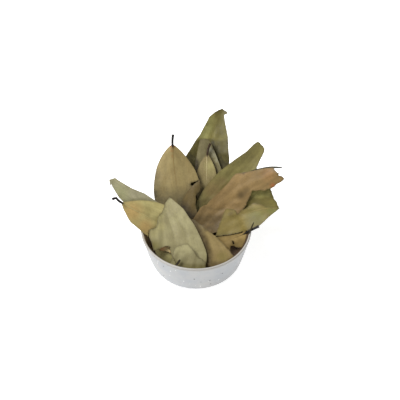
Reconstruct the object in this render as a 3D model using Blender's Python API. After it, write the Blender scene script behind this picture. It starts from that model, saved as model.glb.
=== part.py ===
"""A small round bowl filled with dried Indian bay leaves.

Everything is in millimetres until the meshes are written, which are in metres. The bowl stands on
the XY plane with its axis on Z. The leaves stand in it like cards in a box, one layer behind the
other, and lean back together. They are laid out on that leaning plane:

    across  to the right, along X
    up      up the slope of the plane, which passes through the middle of the rim
    layer   square to the plane, towards the front

Each leaf has a midrib that runs through a few points on the plane. Its blade is as wide as a bay
leaf is at each place along the midrib, and its two edges are lifted off the plane or bent back.
What lies inside the outlines given on the plane is cut away: tears are broken edges, and trims are
whole edges where the leaf is lopsided.
"""

import math

import bpy
import bmesh
import numpy as np
from mathutils.geometry import delaunay_2d_cdt

MM = 0.001

# Bowl
BOWL_HEIGHT = 44.0
RIM_RADIUS = 55.0
SIDE_RADIUS = 44.8  # where the side would meet the table if its foot were not rounded
SIDE_POWER = 0.76  # below 1, the side bulges
FOOT_ROUND = 5.5
WALL = 2.3
FLOOR = 3.2
FLOOR_ROUND = 9.0
BOWL_SIDES = 48

# Leaves
LEAN = math.radians(44.0)  # slope of the leaning plane
BLADE = 0.65  # thickness of a blade
RIB = 0.55  # how far the midrib stands out behind the blade
SIDE_VEIN = 0.25  # how far the two long side veins do
VEIN_PLACE = 0.5  # where they run, as a share of the way to the edge
STALK_RADIUS = 0.95
MESH_SIZE = 8.0  # spacing of the points in a blade
COLUMNS = (-0.75, -VEIN_PLACE, -0.25, 0.0, 0.25, VEIN_PLACE, 0.75)


def hex_colour(text):
    """Linear colour of an sRGB hex value."""
    channels = [int(text[i : i + 2], 16) / 255 for i in (1, 3, 5)]
    return [c / 12.92 if c < 0.04045 else ((c + 0.055) / 1.055) ** 2.4 for c in channels] + [1.0]


def material(name, colour, roughness):
    made = bpy.data.materials.new(name)
    made.use_nodes = True
    shader = made.node_tree.nodes["Principled BSDF"]
    shader.inputs["Base Color"].default_value = hex_colour(colour)
    shader.inputs["Roughness"].default_value = roughness
    shader.inputs["Metallic"].default_value = 0.0
    made.diffuse_color = hex_colour(colour)
    return made


def add_object(name, bm, finish):
    """Turn a bmesh in millimetres into an object, smooth apart from its sharp edges."""
    bmesh.ops.scale(bm, vec=(MM, MM, MM), verts=bm.verts)
    mesh = bpy.data.meshes.new(name)
    bm.to_mesh(mesh)
    bm.free()
    mesh.shade_smooth()
    mesh.set_sharp_from_angle(angle=math.radians(40))
    mesh.materials.append(finish)
    made = bpy.data.objects.new(name, mesh)
    bpy.context.scene.collection.objects.link(made)
    return made


# ---------------------------------------------------------------- bowl


def side_radius(z):
    return SIDE_RADIUS + (RIM_RADIUS - SIDE_RADIUS) * (z / BOWL_HEIGHT) ** SIDE_POWER


def bowl_profile():
    """The turned outline, from the middle of the foot, round the lip, to the middle of the floor."""
    points = [(0.0, 0.0), (SIDE_RADIUS - FOOT_ROUND, 0.0)]
    for step in range(1, 5):
        z = FOOT_ROUND * (1 - math.cos(step * math.pi / 8))
        inset = FOOT_ROUND - math.sqrt(FOOT_ROUND**2 - (FOOT_ROUND - z) ** 2)
        points.append((side_radius(z) - inset, z))
    lip = WALL / 2
    lip_z = BOWL_HEIGHT - lip
    points += [(side_radius(z), z) for z in (12.0, 20.0, 29.0, 37.0)]
    for step in range(5):
        turn = step * math.pi / 4
        points.append((RIM_RADIUS - lip + lip * math.cos(turn), lip_z + lip * math.sin(turn)))
    points += [(side_radius(z) - WALL, z) for z in (36.0, 27.0, 18.0)]
    corner = side_radius(FLOOR + FLOOR_ROUND) - WALL - FLOOR_ROUND
    for step in range(4):
        turn = step * math.pi / 6
        points.append(
            (corner + FLOOR_ROUND * math.cos(turn), FLOOR + FLOOR_ROUND * (1 - math.sin(turn)))
        )
    points.append((0.0, FLOOR))
    return points


def make_bowl():
    bm = bmesh.new()
    verts = [bm.verts.new((r, 0.0, z)) for r, z in bowl_profile()]
    edges = [bm.edges.new(pair) for pair in zip(verts, verts[1:])]
    bmesh.ops.spin(
        bm,
        geom=verts + edges,
        axis=(0, 0, 1),
        cent=(0, 0, 0),
        angle=2 * math.pi,
        steps=BOWL_SIDES,
        use_merge=True,
    )
    bmesh.ops.remove_doubles(bm, verts=bm.verts, dist=0.001)
    bmesh.ops.recalc_face_normals(bm, faces=bm.faces)
    add_object("bowl", bm, material("speckled_glaze", "#c9cacb", 0.35))


# ---------------------------------------------------------------- leaves


def smooth_through(points, steps):
    """Points on a Catmull-Rom curve through the given ones, whatever numbers each holds."""
    p = np.array([2 * np.array(points[0]) - points[1], *points, 2 * np.array(points[-1]) - points[-2]])
    curve = []
    for i in range(1, len(p) - 2):
        for u in np.arange(steps) / steps:
            curve.append(
                0.5
                * (
                    2 * p[i]
                    + (p[i + 1] - p[i - 1]) * u
                    + (2 * p[i - 1] - 5 * p[i] + 4 * p[i + 1] - p[i + 2]) * u**2
                    + (3 * p[i] - p[i - 1] - 3 * p[i + 1] + p[i + 2]) * u**3
                )
            )
    return np.array(curve + [p[-2]])


def to_world(across, up, layer):
    """From the leaning plane to the bowl's own frame."""
    y = up * math.cos(LEAN) - layer * math.sin(LEAN)
    z = up * math.sin(LEAN) + layer * math.cos(LEAN) + BOWL_HEIGHT
    return np.stack([across, y, z], axis=-1)


class Leaf:
    """One leaf. Each midrib point is (across, up, layer, left lift, right lift).

    The lifts say how far each edge stands in front of the midrib. Left and right are as seen from
    the front, going along the midrib. A leaf with a stalk starts with it.
    """

    def __init__(self, midrib, width, widest=0.43, fullness=2.1, stalk=0.0, roll=0.0, ripple=0.5):
        self.curve = smooth_through(midrib, 24)
        steps = np.linalg.norm(np.diff(self.curve[:, :2], axis=0), axis=1)
        self.along = np.concatenate([[0.0], np.cumsum(steps)])
        self.length = self.along[-1]
        self.half = width / 2
        self.widest = widest
        self.fullness = fullness
        self.stalk = stalk
        self.roll = math.radians(roll)
        self.ripple = ripple

    def half_width(self, y):
        """Half the width of the whole leaf at a distance along its midrib."""
        t = np.clip((y - self.stalk) / (self.length - self.stalk), 0.0, 1.0)
        rise = (t / self.widest) ** self.widest
        fall = ((1 - t) / (1 - self.widest)) ** (1 - self.widest)
        blade = self.half * (rise * fall) ** self.fullness
        on_stalk = np.where(np.asarray(y) < self.stalk + 3.0, STALK_RADIUS, 0.0)
        return np.maximum(blade, on_stalk if self.stalk else 0.0)

    def flatten(self, outline):
        """Distances across and along the leaf of points given on the leaning plane."""
        flat = []
        centre = self.curve[:, :2]
        for point in outline:
            start, step = centre[:-1], np.diff(centre, axis=0)
            share = np.einsum("ij,ij->i", point - start, step) / np.einsum("ij,ij->i", step, step)
            share[1:-1] = np.clip(share[1:-1], 0.0, 1.0)
            share[0], share[-1] = min(share[0], 1.0), max(share[-1], 0.0)
            off = point - start - share[:, None] * step
            best = int(np.argmin(np.einsum("ij,ij->i", off, off)))
            size = np.linalg.norm(step[best])
            right = np.array([step[best][1], -step[best][0]]) / size
            flat.append((off[best] @ right, self.along[best] + share[best] * size))
        return flat

    def surface(self, x, y):
        """The middle of the blade, on the leaning plane, for arrays of flat positions."""
        mid = np.stack([np.interp(y, self.along, column) for column in self.curve.T], axis=-1)
        ahead = np.stack([np.interp(y + 1.0, self.along, c) for c in self.curve.T[:2]], axis=-1)
        behind = np.stack([np.interp(y - 1.0, self.along, c) for c in self.curve.T[:2]], axis=-1)
        way = (ahead - behind) / np.linalg.norm(ahead - behind, axis=-1)[..., None]
        share = x / np.maximum(self.half_width(y), 2.5)
        lift = np.where(x < 0, mid[..., 3], mid[..., 4])
        bend = lift * np.minimum(np.abs(share), 1.5) ** 1.4
        bend = bend + self.ripple * np.abs(share) ** 2 * np.sin(y / 7.0 + np.where(x < 0, 0.0, 2.0))
        flat_x = x * math.cos(self.roll)
        return np.stack(
            [
                mid[..., 0] + flat_x * way[..., 1],
                mid[..., 1] - flat_x * way[..., 0],
                mid[..., 2] + x * math.sin(self.roll) + bend,
            ],
            axis=-1,
        )

    def depths(self, x, y):
        """How far the front stands before the middle surface, and how far the back lies behind."""
        share = np.abs(x) / np.maximum(self.half_width(y), 0.1)
        rib = RIB * np.clip(1 - np.abs(x) / 2.0, 0, 1)
        veins = SIDE_VEIN * np.clip(1 - np.abs(share - VEIN_PLACE) * 6, 0, 1)
        front = np.full_like(x, BLADE / 2)
        back = front + np.maximum(rib, veins)
        if self.stalk:
            on_stalk = np.clip(1.5 - (y - self.stalk) / 4.0, 0, 1)
            round_half = STALK_RADIUS * np.sqrt(np.clip(1 - share**2, 0.03, 1))
            front = front + (round_half - front) * on_stalk
            back = back + (round_half - back) * on_stalk
        return front, back


def inside(point, polygon):
    """Whether a point lies inside a polygon."""
    x, y = point
    crossings = False
    for (ax, ay), (bx, by) in zip(polygon, polygon[1:] + polygon[:1]):
        if (ay > y) != (by > y) and x < (bx - ax) * (y - ay) / (by - ay) + ax:
            crossings = not crossings
    return crossings


def distance_to(point, polygon):
    """Shortest distance from a point to a polygon's edge."""
    ends = np.array(polygon + polygon[:1])
    start, step = ends[:-1], np.diff(ends, axis=0)
    share = np.einsum("ij,ij->i", point - start, step) / np.einsum("ij,ij->i", step, step)
    off = point - start - np.clip(share, 0, 1)[:, None] * step
    return math.sqrt(np.einsum("ij,ij->i", off, off).min())


def blade_outline(leaf, size):
    """The outline of the whole leaf, laid flat."""
    rows = max(6, round((leaf.length - leaf.stalk) / size))
    spread = [0.5 - 0.5 * math.cos(math.pi * i / rows) for i in range(1, rows)]
    stations = [leaf.stalk + (leaf.length - leaf.stalk) * s for s in spread]
    if leaf.stalk:
        stations = [0.0, leaf.stalk / 3, leaf.stalk * 2 / 3, leaf.stalk] + stations
    right = [(float(leaf.half_width(y)), y) for y in stations]
    left = [(-x, y) for x, y in reversed(right)]
    ends = [] if leaf.stalk else [(0.0, 0.0)]
    return ends + right + [(0.0, leaf.length)] + left


def blade_triangles(leaf, piece, tears, size):
    """Flat points and triangles of the blade, with the torn parts cut away."""
    whole = blade_outline(leaf, size)
    keep = [whole] + ([leaf.flatten(piece)] if piece else [])
    cut = [leaf.flatten(tear) for tear in tears]
    points, edges = [], []
    for polygon in keep + cut:
        first = len(points)
        count = len(polygon)
        points += polygon
        edges += [(first + i, first + (i + 1) % count) for i in range(count)]
    rows = max(4, round((leaf.length - leaf.stalk) / size))
    for row in range(1, rows):
        y = leaf.stalk + (leaf.length - leaf.stalk) * row / rows
        half = float(leaf.half_width(y))
        for column in COLUMNS:
            spot = (column * half, y)
            narrow = half < size and abs(column) not in (0.0, VEIN_PLACE)
            narrow = narrow or (half < size / 2 and column)
            near = min(distance_to(spot, polygon) for polygon in keep + cut)
            if near > size / 5 and not narrow:
                points.append(spot)
    flat, _, triangles, _, _, _ = delaunay_2d_cdt(points, edges, [], 0, 0.05)
    kept = []
    for triangle in triangles:
        middle = [sum(flat[i][k] for i in triangle) / 3 for k in (0, 1)]
        if all(inside(middle, p) for p in keep) and not any(inside(middle, p) for p in cut):
            kept.append(triangle)
    used = sorted({i for triangle in kept for i in triangle})
    number = {old: new for new, old in enumerate(used)}
    flat = np.array([flat[i][:2] for i in used])
    return flat, [tuple(number[i] for i in triangle) for triangle in kept]


def make_leaf(name, finish, leaf, piece=None, tears=()):
    """A closed thin blade: a front, a back behind it, and the edge between them."""
    flat, triangles = blade_triangles(leaf, piece, tears, MESH_SIZE)
    x, y = flat[:, 0], flat[:, 1]
    middle = leaf.surface(x, y)
    step = 0.5
    way_x = leaf.surface(x + step, y) - leaf.surface(x - step, y)
    way_y = leaf.surface(x, y + step) - leaf.surface(x, y - step)
    normal = np.cross(way_x, way_y)
    normal /= np.linalg.norm(normal, axis=-1)[:, None]
    before, behind = leaf.depths(x, y)
    front = middle + normal * before[:, None]
    back = middle - normal * behind[:, None]
    bm = bmesh.new()
    tops = [bm.verts.new(p) for p in to_world(*front.T)]
    bottoms = [bm.verts.new(p) for p in to_world(*back.T)]
    ways = {}
    for a, b, c in triangles:
        bm.faces.new((tops[a], tops[b], tops[c]))
        bm.faces.new((bottoms[c], bottoms[b], bottoms[a]))
        for pair in ((a, b), (b, c), (c, a)):
            ways[pair] = ways.get(pair, 0) + 1
    for a, b in ways:
        if (b, a) not in ways:
            bm.faces.new((tops[b], tops[a], bottoms[a]))
            bm.faces.new((tops[b], bottoms[a], bottoms[b]))
    bmesh.ops.recalc_face_normals(bm, faces=bm.faces)
    add_object(name, bm, finish)


LEAVES = {
    "leaf_rear": dict(
        colour="#7a724b",
        leaf=Leaf(
            [(-10.5, -6, -33, 3, 2), (0.5, 38, -35.2, 2, 4), (8.5, 68, -34, 3, 4),
             (14.5, 89, -33.5, 4, 4), (33.5, 133, -46, 0, 0)],
            width=53, fullness=2.5,
        ),
        tears=[
            [(-5, 117), (16.3, 117.2), (21, 119.4), (27.4, 122.5), (34, 117.4), (50, 117),
             (50, 150), (-5, 150)],
        ],
        trims=[
            [(34, 117.2), (29, 115.6), (30, 107.5), (31.8, 98), (33.6, 88), (45, 80), (50, 117)],
            [(16.5, 117), (13.9, 114.3), (11.9, 110), (10.2, 106.7), (7, 100.7), (3.7, 94.2),
             (-1, 88), (-5, 81.2), (-10.7, 72.4), (-15, 64), (-18.5, 50), (-19.5, 30), (-20.5, 8),
             (-40, 8), (-40, 60), (-20, 120)],
        ],
    ),
    "leaf_broken": dict(
        colour="#7a7154",
        leaf=Leaf(
            [(15, 4, -28.5, 0, 0), (14, 45, -29.5, 0, 1), (10, 84, -27, -1, -1),
             (6, 116, -24, 0, 0)],
            width=29, fullness=3.0,
        ),
        tears=[
            [(-20, 89.4), (4.1, 89.4), (12.5, 89.2), (30, 89), (30, 130), (-20, 130)],
        ],
        trims=[
            [(12.5, 89.2), (15.6, 84.3), (18.7, 77.2), (22.3, 67.9), (26.2, 58.1), (31, 45),
             (45, 45), (45, 95)],
            [(4.1, 89.4), (2.4, 82.3), (1, 75.1), (-0.4, 67.9), (-1.3, 60.7), (-2, 50), (-20, 50),
             (-20, 95)],
        ],
    ),
    "leaf_small": dict(
        colour="#9b8f66",
        leaf=Leaf(
            [(14.3, 84.5, -23, 0, 0), (11.3, 73.7, -25, 0, 0), (10, 42, -26, 0, 0),
             (6, 4, -25, 0, 0)],
            width=21.5, widest=0.4, fullness=2.5, stalk=10.5,
        ),
    ),
    "leaf_large": dict(
        colour="#a08f65",
        leaf=Leaf(
            [(-23.6, 93, -16, 0, 0), (-24.2, 83.5, -18.5, -2, -2), (-22.8, 62, -21, -1.5, -4),
             (-19.4, 36, -21, -1.5, -1), (-12, -26, -17.5, -1, -2)],
            width=47.8, fullness=1.85, widest=0.45, stalk=9.5,
        ),
        tears=[
            [(14, 48.5), (3.5, 47), (-5.4, 44.4), (-5.8, 42), (-3.4, 39.8), (-2.5, 28), (-8, 8),
             (-10, -40), (30, -40)],
        ],
    ),
    "leaf_inner": dict(
        colour="#6e5f3e",
        leaf=Leaf(
            [(-14, -26, -12, 0, 0), (-9, 0, -15.5, 0, -1), (-4.5, 27, -17.5, -1, -1),
             (3.6, 47.5, -20, 0, 0)],
            width=21, widest=0.5,
        ),
        tears=[
            [(4.2, 49), (4.2, 43), (4.3, 38.9), (2.7, 35.4), (0.4, 33.3), (-0.4, 28.7),
             (-0.4, 20.6), (1.3, 13.5), (4, 0), (30, 0), (30, 49)],
        ],
    ),
    "leaf_right_high": dict(
        colour="#797347",
        leaf=Leaf(
            [(2, -18, -19, 0, 0), (19, 24, -23, 0, 3), (50.5, 60.5, -25, 3, 3),
             (85, 100, -36, 0, 0)],
            width=34, widest=0.38, fullness=1.7,
        ),
        tears=[
            [(40, 100), (62, 87.5), (63.5, 86), (66.7, 83.3), (68.6, 80.5), (66.5, 73), (62, 65),
             (64, 56), (110, 56), (110, 120)],
        ],
    ),
    "leaf_edge": dict(
        colour="#5c5f3c",
        leaf=Leaf(
            [(44, 49.5, -19, 0, 0), (58, 56.7, -17, 0, 0), (75, 59.4, -14, 0, 0),
             (86.8, 59.3, -9, 0, 0)],
            width=5.2, roll=70, ripple=0.0,
        ),
    ),
    "leaf_right_green": dict(
        colour="#6f683c",
        leaf=Leaf(
            [(34, 13, -18.3, -1, 0), (46, 18, -15.3, -1, 2), (66, 27, -14, -2, 3),
             (102, 34, -18, 0, 0)],
            width=33, widest=0.5,
        ),
        tears=[
            [(75, 48), (75.4, 38.3), (77, 32.8), (79.4, 27), (81.8, 24.2), (83.5, 18.8), (72, 14),
             (60, 19), (50, 16.5), (44, 15), (40, 10), (30, -2), (110, -2), (110, 50)],
        ],
    ),
    "leaf_right_brown": dict(
        colour="#8f7850",
        leaf=Leaf(
            [(-10, -13, -11, 0, 0), (23, 16, -17.5, 1, 4), (53, 38, -10, -2, 0),
             (76, 51, -3, -4, -3), (98, 62, 3, 0, 0)],
            width=42, widest=0.48, fullness=1.9,
        ),
        tears=[
            [(76.8, 90), (76.8, 58.9), (80.9, 53.7), (82.4, 53.7), (82.2, 51.2), (85.2, 50.4),
             (87.9, 47.9), (100, 40), (120, 50), (100, 80)],
            [(95, 49.5), (87.9, 47.5), (79.3, 41.2), (75.3, 38.3), (66.8, 36.2), (56.1, 35.8),
             (54.6, 30.8), (49, 19), (43, 12), (34, 2), (30, -20), (110, -20)],
        ],
        trims=[
            [(-4, 6), (1.2, 14), (4.2, 19), (8, 21.2), (11, 22.1), (12.6, 24.7), (17.7, 29.7),
             (26.8, 38.2), (32.8, 44.4), (36.8, 50), (40.2, 53.2), (47.8, 54.5), (54.8, 55.6),
             (61.8, 57), (69.7, 58.4), (76.8, 59), (90, 59), (90, 90), (-30, 90), (-30, 10)],
        ],
    ),
    "leaf_left_pale": dict(
        colour="#9e9d7b",
        leaf=Leaf(
            [(-14, -8, -17, 0, 0), (-38, 8, -17.3, 2, -2), (-62, 25, -14, 4, -2),
             (-80, 38, -16, 4, 2), (-98, 54, -24, 0, 0)],
            width=27.5, fullness=1.3, widest=0.45,
        ),
        tears=[
            [(-30, 40), (-30, 20), (-34, 15), (-44, 17.5), (-57, 18.5), (-62, 12), (-60, -20),
             (20, -20), (20, 40)],
        ],
        trims=[
            [(-34, 20.6), (-40, 25), (-46, 29), (-52.4, 33.3), (-58.6, 35.8), (-64.9, 38.5),
             (-71.2, 42.1), (-77.7, 46), (-82.3, 49.2), (-88.7, 47.3), (-87.4, 40.8),
             (-86.5, 43.1), (-85.5, 40.5), (-81.4, 34.2), (-78.1, 29.1), (-74.1, 25.1),
             (-70.9, 20.6), (-66, 8), (-120, 10), (-110, 70), (-30, 60)],
        ],
    ),
    "leaf_left_yellow": dict(
        colour="#ad9a67",
        leaf=Leaf(
            [(-82.7, 27.3, 7, 0, 0), (-79.2, 28.4, 5.5, 0, 0), (-75.6, 24.2, 3.2, 0, 0),
             (-55, 13.4, -0.6, -5.5, 9.5), (-35, 3.4, -6, -5.5, 8), (-4, -13.1, -9, 0, 0)],
            width=33, widest=0.5, stalk=10.3,
        ),
        tears=[
            [(-31.2, 40), (-31.2, 16), (-36.5, 5), (-38, 0.5), (-41, -1.5), (-44, -2.7),
             (-47.1, -3.7), (-47.7, -6.5), (-47.2, -11), (-45, -16), (-43, -22), (-42, -40),
             (20, -40), (20, 40)],
        ],
        trims=[
            [(-67.5, 9.5), (-65.3, 7.2), (-59.2, 2), (-53.6, -2.9), (-51.2, -5.8), (-48.4, -8.2),
             (-47.4, -12), (-46, -18), (-60, -30), (-80, -5)],
        ],
    ),
    "leaf_right_inner": dict(
        colour="#92794b",
        leaf=Leaf(
            [(61.5, 0.8, 10.5, 0, 0), (54.5, -2.8, 8.2, 0, 0), (49, -6, 4.5, 0, 1),
             (36, -12, -2, 0, 1), (5, -26, -10, 0, 0)],
            width=30, stalk=13,
        ),
        tears=[
            [(36, -13.8), (37.2, -14.2), (38.2, -16.6), (37.2, -17.6), (36.2, -16)],
            [(34.3, -20.5), (34.3, -19.5), (37.8, -19), (40.8, -20.4), (44.8, -20.7), (49.6, -19),
             (60, -19), (60, -40), (31.9, -40)],
        ],
        trims=[
            [(10, -9.2), (17.9, -10.6), (23.9, -9.9), (32.8, -8.8), (41.6, -7), (45.5, -6),
             (47, -4.5), (47, 20), (10, 20)],
        ],
    ),
    "leaf_right_low": dict(
        colour="#938754",
        leaf=Leaf(
            [(83.6, 18.9, 0, 0, 0), (66, 17.8, 1.5, 4, -4), (47, 12.5, -3, 9, -4),
             (33, 5, -9, 4, -3), (0, -18, -12, 0, 0)],
            width=38, widest=0.5,
        ),
        tears=[
            [(20.5, -6), (29, 16.6), (30.5, 18.1), (35.1, 17.6), (40.1, 15.6), (41.6, 12.2),
             (44.1, 15.6), (49.2, 18.1), (56.2, 23.2), (62.3, 22.7), (69.3, 20.7), (84, 18.8),
             (90, 50), (-20, 50), (-20, -30), (12, -30)],
            [(60, 0.2), (55, -0.5), (52, -1.2), (50, -3), (46.6, -4.6), (42, -6.5), (33, -8.3),
             (24, -9.4), (16, -10.3), (-20, -14), (0, -40), (60, -40)],
        ],
    ),
    "leaf_front_right": dict(
        colour="#99875b",
        leaf=Leaf(
            [(29, -78, 6, 0, 0), (17, -30, -1, -2, 2), (5, -5, -4, 0, 2), (-9, 20, -9, 0, 0)],
            width=43,
        ),
        tears=[
            [(-30, -52), (8, -52), (20, -47), (32, -38), (42, -28), (70, -28), (60, -100),
             (-30, -100)],
            [(-16, 12), (-3.2, 8.7), (8.9, 0.6), (16.9, -5.4), (27.9, -15.4), (36.9, -25.4),
             (46, -36), (60, -20), (20, 30), (-16, 30)],
        ],
    ),
    "leaf_front": dict(
        colour="#a29a78",
        leaf=Leaf(
            [(-14.2, -76, 4, 0, 0), (-19.2, -25, 1, 5.4, -1), (-26.2, 8, -6, 7, 0),
             (-33.5, 35, -14, 2, 0)],
            width=59, widest=0.45,
        ),
        tears=[
            [(-60, -28), (-42, -29), (-33, -38), (-22, -46), (-6, -52), (60, -52), (60, -100),
             (-60, -100)],
            [(-22, 40), (-22.2, 26.9), (-27, 29.2), (-32, 21.7), (-33.9, 14.7), (-38.6, 9.7),
             (-39.5, 1.8), (-40, -0.7), (-43.5, -2.2), (-46.4, -3.1), (-46.9, -6.1), (-46.4, -11),
             (-44.2, -15.8), (-42, -23.5), (-30, -19), (-26, -20), (-24, -30), (-28, -42),
             (-70, -42), (-60, 40)],
        ],
    ),
    "leaf_low_left": dict(
        colour="#6f6a44",
        leaf=Leaf(
            [(-62, -2, -4, 0, 0), (-40, -24, -5, 0, 0), (-20, -35, -5, 0, 0), (4, -48, -5, 0, 0)],
            width=30,
        ),
        tears=[
            [(-41, -2), (-41, -26), (-35, -36), (-80, -40), (-80, 10)],
            [(-60, -34), (-35, -37), (-20, -46), (10, -48), (10, -60), (-60, -60)],
        ],
    ),
    "leaf_scrap": dict(
        colour="#7d5f45",
        leaf=Leaf(
            [(-42, -12, -2.5, 0, 0), (-31, -20, -2.5, 0, 0), (-20, -30, -2.5, 0, 0)],
            width=16, widest=0.5,
        ),
        piece=[(-37, -15), (-25, -14), (-22, -22), (-26, -26.5), (-30, -24.5), (-36, -24)],
    ),
    "leaf_chip": dict(
        colour="#96916c",
        leaf=Leaf(
            [(-15, -60, 7, 0, 0), (-9, -32, 6, 0, -1), (-6, -5, 4, 0, 0)],
            width=44, widest=0.5,
        ),
        piece=[
            (-23.8, -28.7), (-21.9, -20.8), (-16.9, -17.8), (-8, -16.3), (-3.1, -21.8),
            (0.9, -28.7), (9.8, -34.6), (9, -46), (-4, -49), (-17, -45),
        ],
    ),
    "stalk_right": dict(
        colour="#5a5232",
        leaf=Leaf(
            [(51.5, -7.5, 9.5, 0, 0), (54, -1.6, 10.5, 0, 0), (56.8, 5, 11, 0, 0)],
            width=1.4, widest=0.5, fullness=0.7, ripple=0.0,
        ),
    ),
    "stalk_front": dict(
        colour="#37301f",
        leaf=Leaf(
            [(-20.5, -38, 9.2, 0, 0), (-18, -35.5, 9.4, 0, 0), (-15.6, -31.8, 9.4, 0, 0)],
            width=2.2, widest=0.5, fullness=0.7, ripple=0.0,
        ),
    ),
}


def main():
    for old in list(bpy.data.objects):
        bpy.data.objects.remove(old, do_unlink=True)
    make_bowl()
    for name, parts in LEAVES.items():
        finish = material(name.replace("leaf", "dried_leaf"), parts["colour"], 0.6)
        cuts = parts.get("tears", []) + parts.get("trims", [])
        make_leaf(name, finish, parts["leaf"], parts.get("piece"), cuts)


main()
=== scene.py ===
"""Looks of the bowl of dried Indian bay leaves.

Lengths are in millimetres until the meshes are written, which are in metres. The leaves are laid
out on the leaning plane of the part: across to the right, up the slope, and layer towards the
front. Each leaf is made again with a finer mesh, veins and wrinkles, its midrib and outline
within 3 mm of the part's, and the bowl is turned again with more sides.
"""

import math

import bmesh
import bpy
import numpy as np
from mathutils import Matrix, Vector
from mathutils.geometry import delaunay_2d_cdt


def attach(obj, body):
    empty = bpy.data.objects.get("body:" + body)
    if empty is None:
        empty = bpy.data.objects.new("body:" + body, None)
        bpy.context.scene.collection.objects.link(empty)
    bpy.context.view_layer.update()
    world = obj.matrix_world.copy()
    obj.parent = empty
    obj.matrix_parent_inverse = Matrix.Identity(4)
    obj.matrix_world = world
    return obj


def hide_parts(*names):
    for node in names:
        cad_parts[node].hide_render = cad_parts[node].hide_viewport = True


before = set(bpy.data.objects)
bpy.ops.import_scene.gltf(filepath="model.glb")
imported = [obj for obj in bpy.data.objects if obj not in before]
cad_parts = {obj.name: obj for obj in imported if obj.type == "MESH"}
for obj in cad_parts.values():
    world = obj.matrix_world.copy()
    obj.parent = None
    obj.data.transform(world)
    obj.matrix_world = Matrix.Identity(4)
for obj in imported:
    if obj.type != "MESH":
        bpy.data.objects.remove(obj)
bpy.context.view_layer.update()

MM = 0.001

# Bowl, as in the part
BOWL_HEIGHT = 44.0
RIM_RADIUS = 55.0
SIDE_RADIUS = 44.8
SIDE_POWER = 0.76
FOOT_ROUND = 5.5
WALL = 2.3
FLOOR = 3.2
FLOOR_ROUND = 9.0
BOWL_SIDES = 160

# Leaves
LEAN = math.radians(44.0)  # slope of the leaning plane
MESH_SIZE = 1.7  # spacing of the points in a blade
BLADE = 0.42  # thickness of a dry blade
SIDE_VEIN = 0.5  # how far out the two long side veins run, as a share of the half width
CROSS_VEIN_GAP = 5.0  # between the thin ladder veins
TEAR_STEP = 1.3  # length of one jag on a torn edge
TEAR_JAG = 0.45  # depth of one
TORN_RIM = 0.5  # how far the dark rim of a tear fades into the blade: browning of the torn edge, and painted shade
SMOOTH_RIM = 0.35  # how dark a whole margin is, as a share of that rim
CREASE_LINE = 0.7  # how far the painted shade line of a crease fades into the blade
CREASE_SPREAD = 2.2  # how far a crease lifts the blade on both sides
STALK_RADIUS = 1.25
VEIN_SUNK = 0.12  # how deep the main veins sit in the blade
MIDRIB_RADIUS = 0.62  # where the midrib leaves the stalk
SIDE_VEIN_RADIUS = 0.36
CROSS_VEIN_RADIUS = 0.13
SHADED_VEIN = 0.85  # how far a painted shade area thins the veins in it

GLAZE_COOL = "#a2a5a9"
GLAZE_WARM = "#aeaead"
FLOOR_GLOW = 0.7  # light from the table, as a share of white


def hex_colour(text):
    """Linear colour of an sRGB hex value."""
    channels = [int(text[i : i + 2], 16) / 255 for i in (1, 3, 5)]
    return [c / 12.92 if c < 0.04045 else ((c + 0.055) / 1.055) ** 2.4 for c in channels] + [1.0]


def add(tree, kind, inputs=None, **settings):
    """Add a node with its settings. Each input is a value, or the output that feeds it."""
    made = tree.nodes.new(kind)
    for key, value in settings.items():
        setattr(made, key, value)
    for key, value in (inputs or {}).items():
        if isinstance(key, int):
            socket = made.inputs[key]
        else:
            socket = next(s for s in made.inputs if key in (s.identifier, s.name))
        if isinstance(value, bpy.types.NodeSocket):
            tree.links.new(value, socket)
        else:
            socket.default_value = value
    return made


def new_material(name):
    made = bpy.data.materials.new(name)
    made.use_nodes = True
    made.node_tree.nodes.clear()
    return made, made.node_tree


# ---------------------------------------------------------------- leaning plane and leaves


def smooth_through(points, steps):
    """Points on a Catmull-Rom curve through the given ones, whatever numbers each holds."""
    p = np.array([2 * np.array(points[0]) - points[1], *points, 2 * np.array(points[-1]) - points[-2]])
    curve = []
    for i in range(1, len(p) - 2):
        for u in np.arange(steps) / steps:
            curve.append(
                0.5
                * (
                    2 * p[i]
                    + (p[i + 1] - p[i - 1]) * u
                    + (2 * p[i - 1] - 5 * p[i] + 4 * p[i + 1] - p[i + 2]) * u**2
                    + (3 * p[i] - p[i - 1] - 3 * p[i + 1] + p[i + 2]) * u**3
                )
            )
    return np.array(curve + [p[-2]])


def to_world(points):
    """From the leaning plane to the bowl's own frame, in metres."""
    across, up, layer = points.T
    y = up * math.cos(LEAN) - layer * math.sin(LEAN)
    z = up * math.sin(LEAN) + layer * math.cos(LEAN) + BOWL_HEIGHT
    return np.stack([across, y, z], axis=-1) * MM


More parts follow.
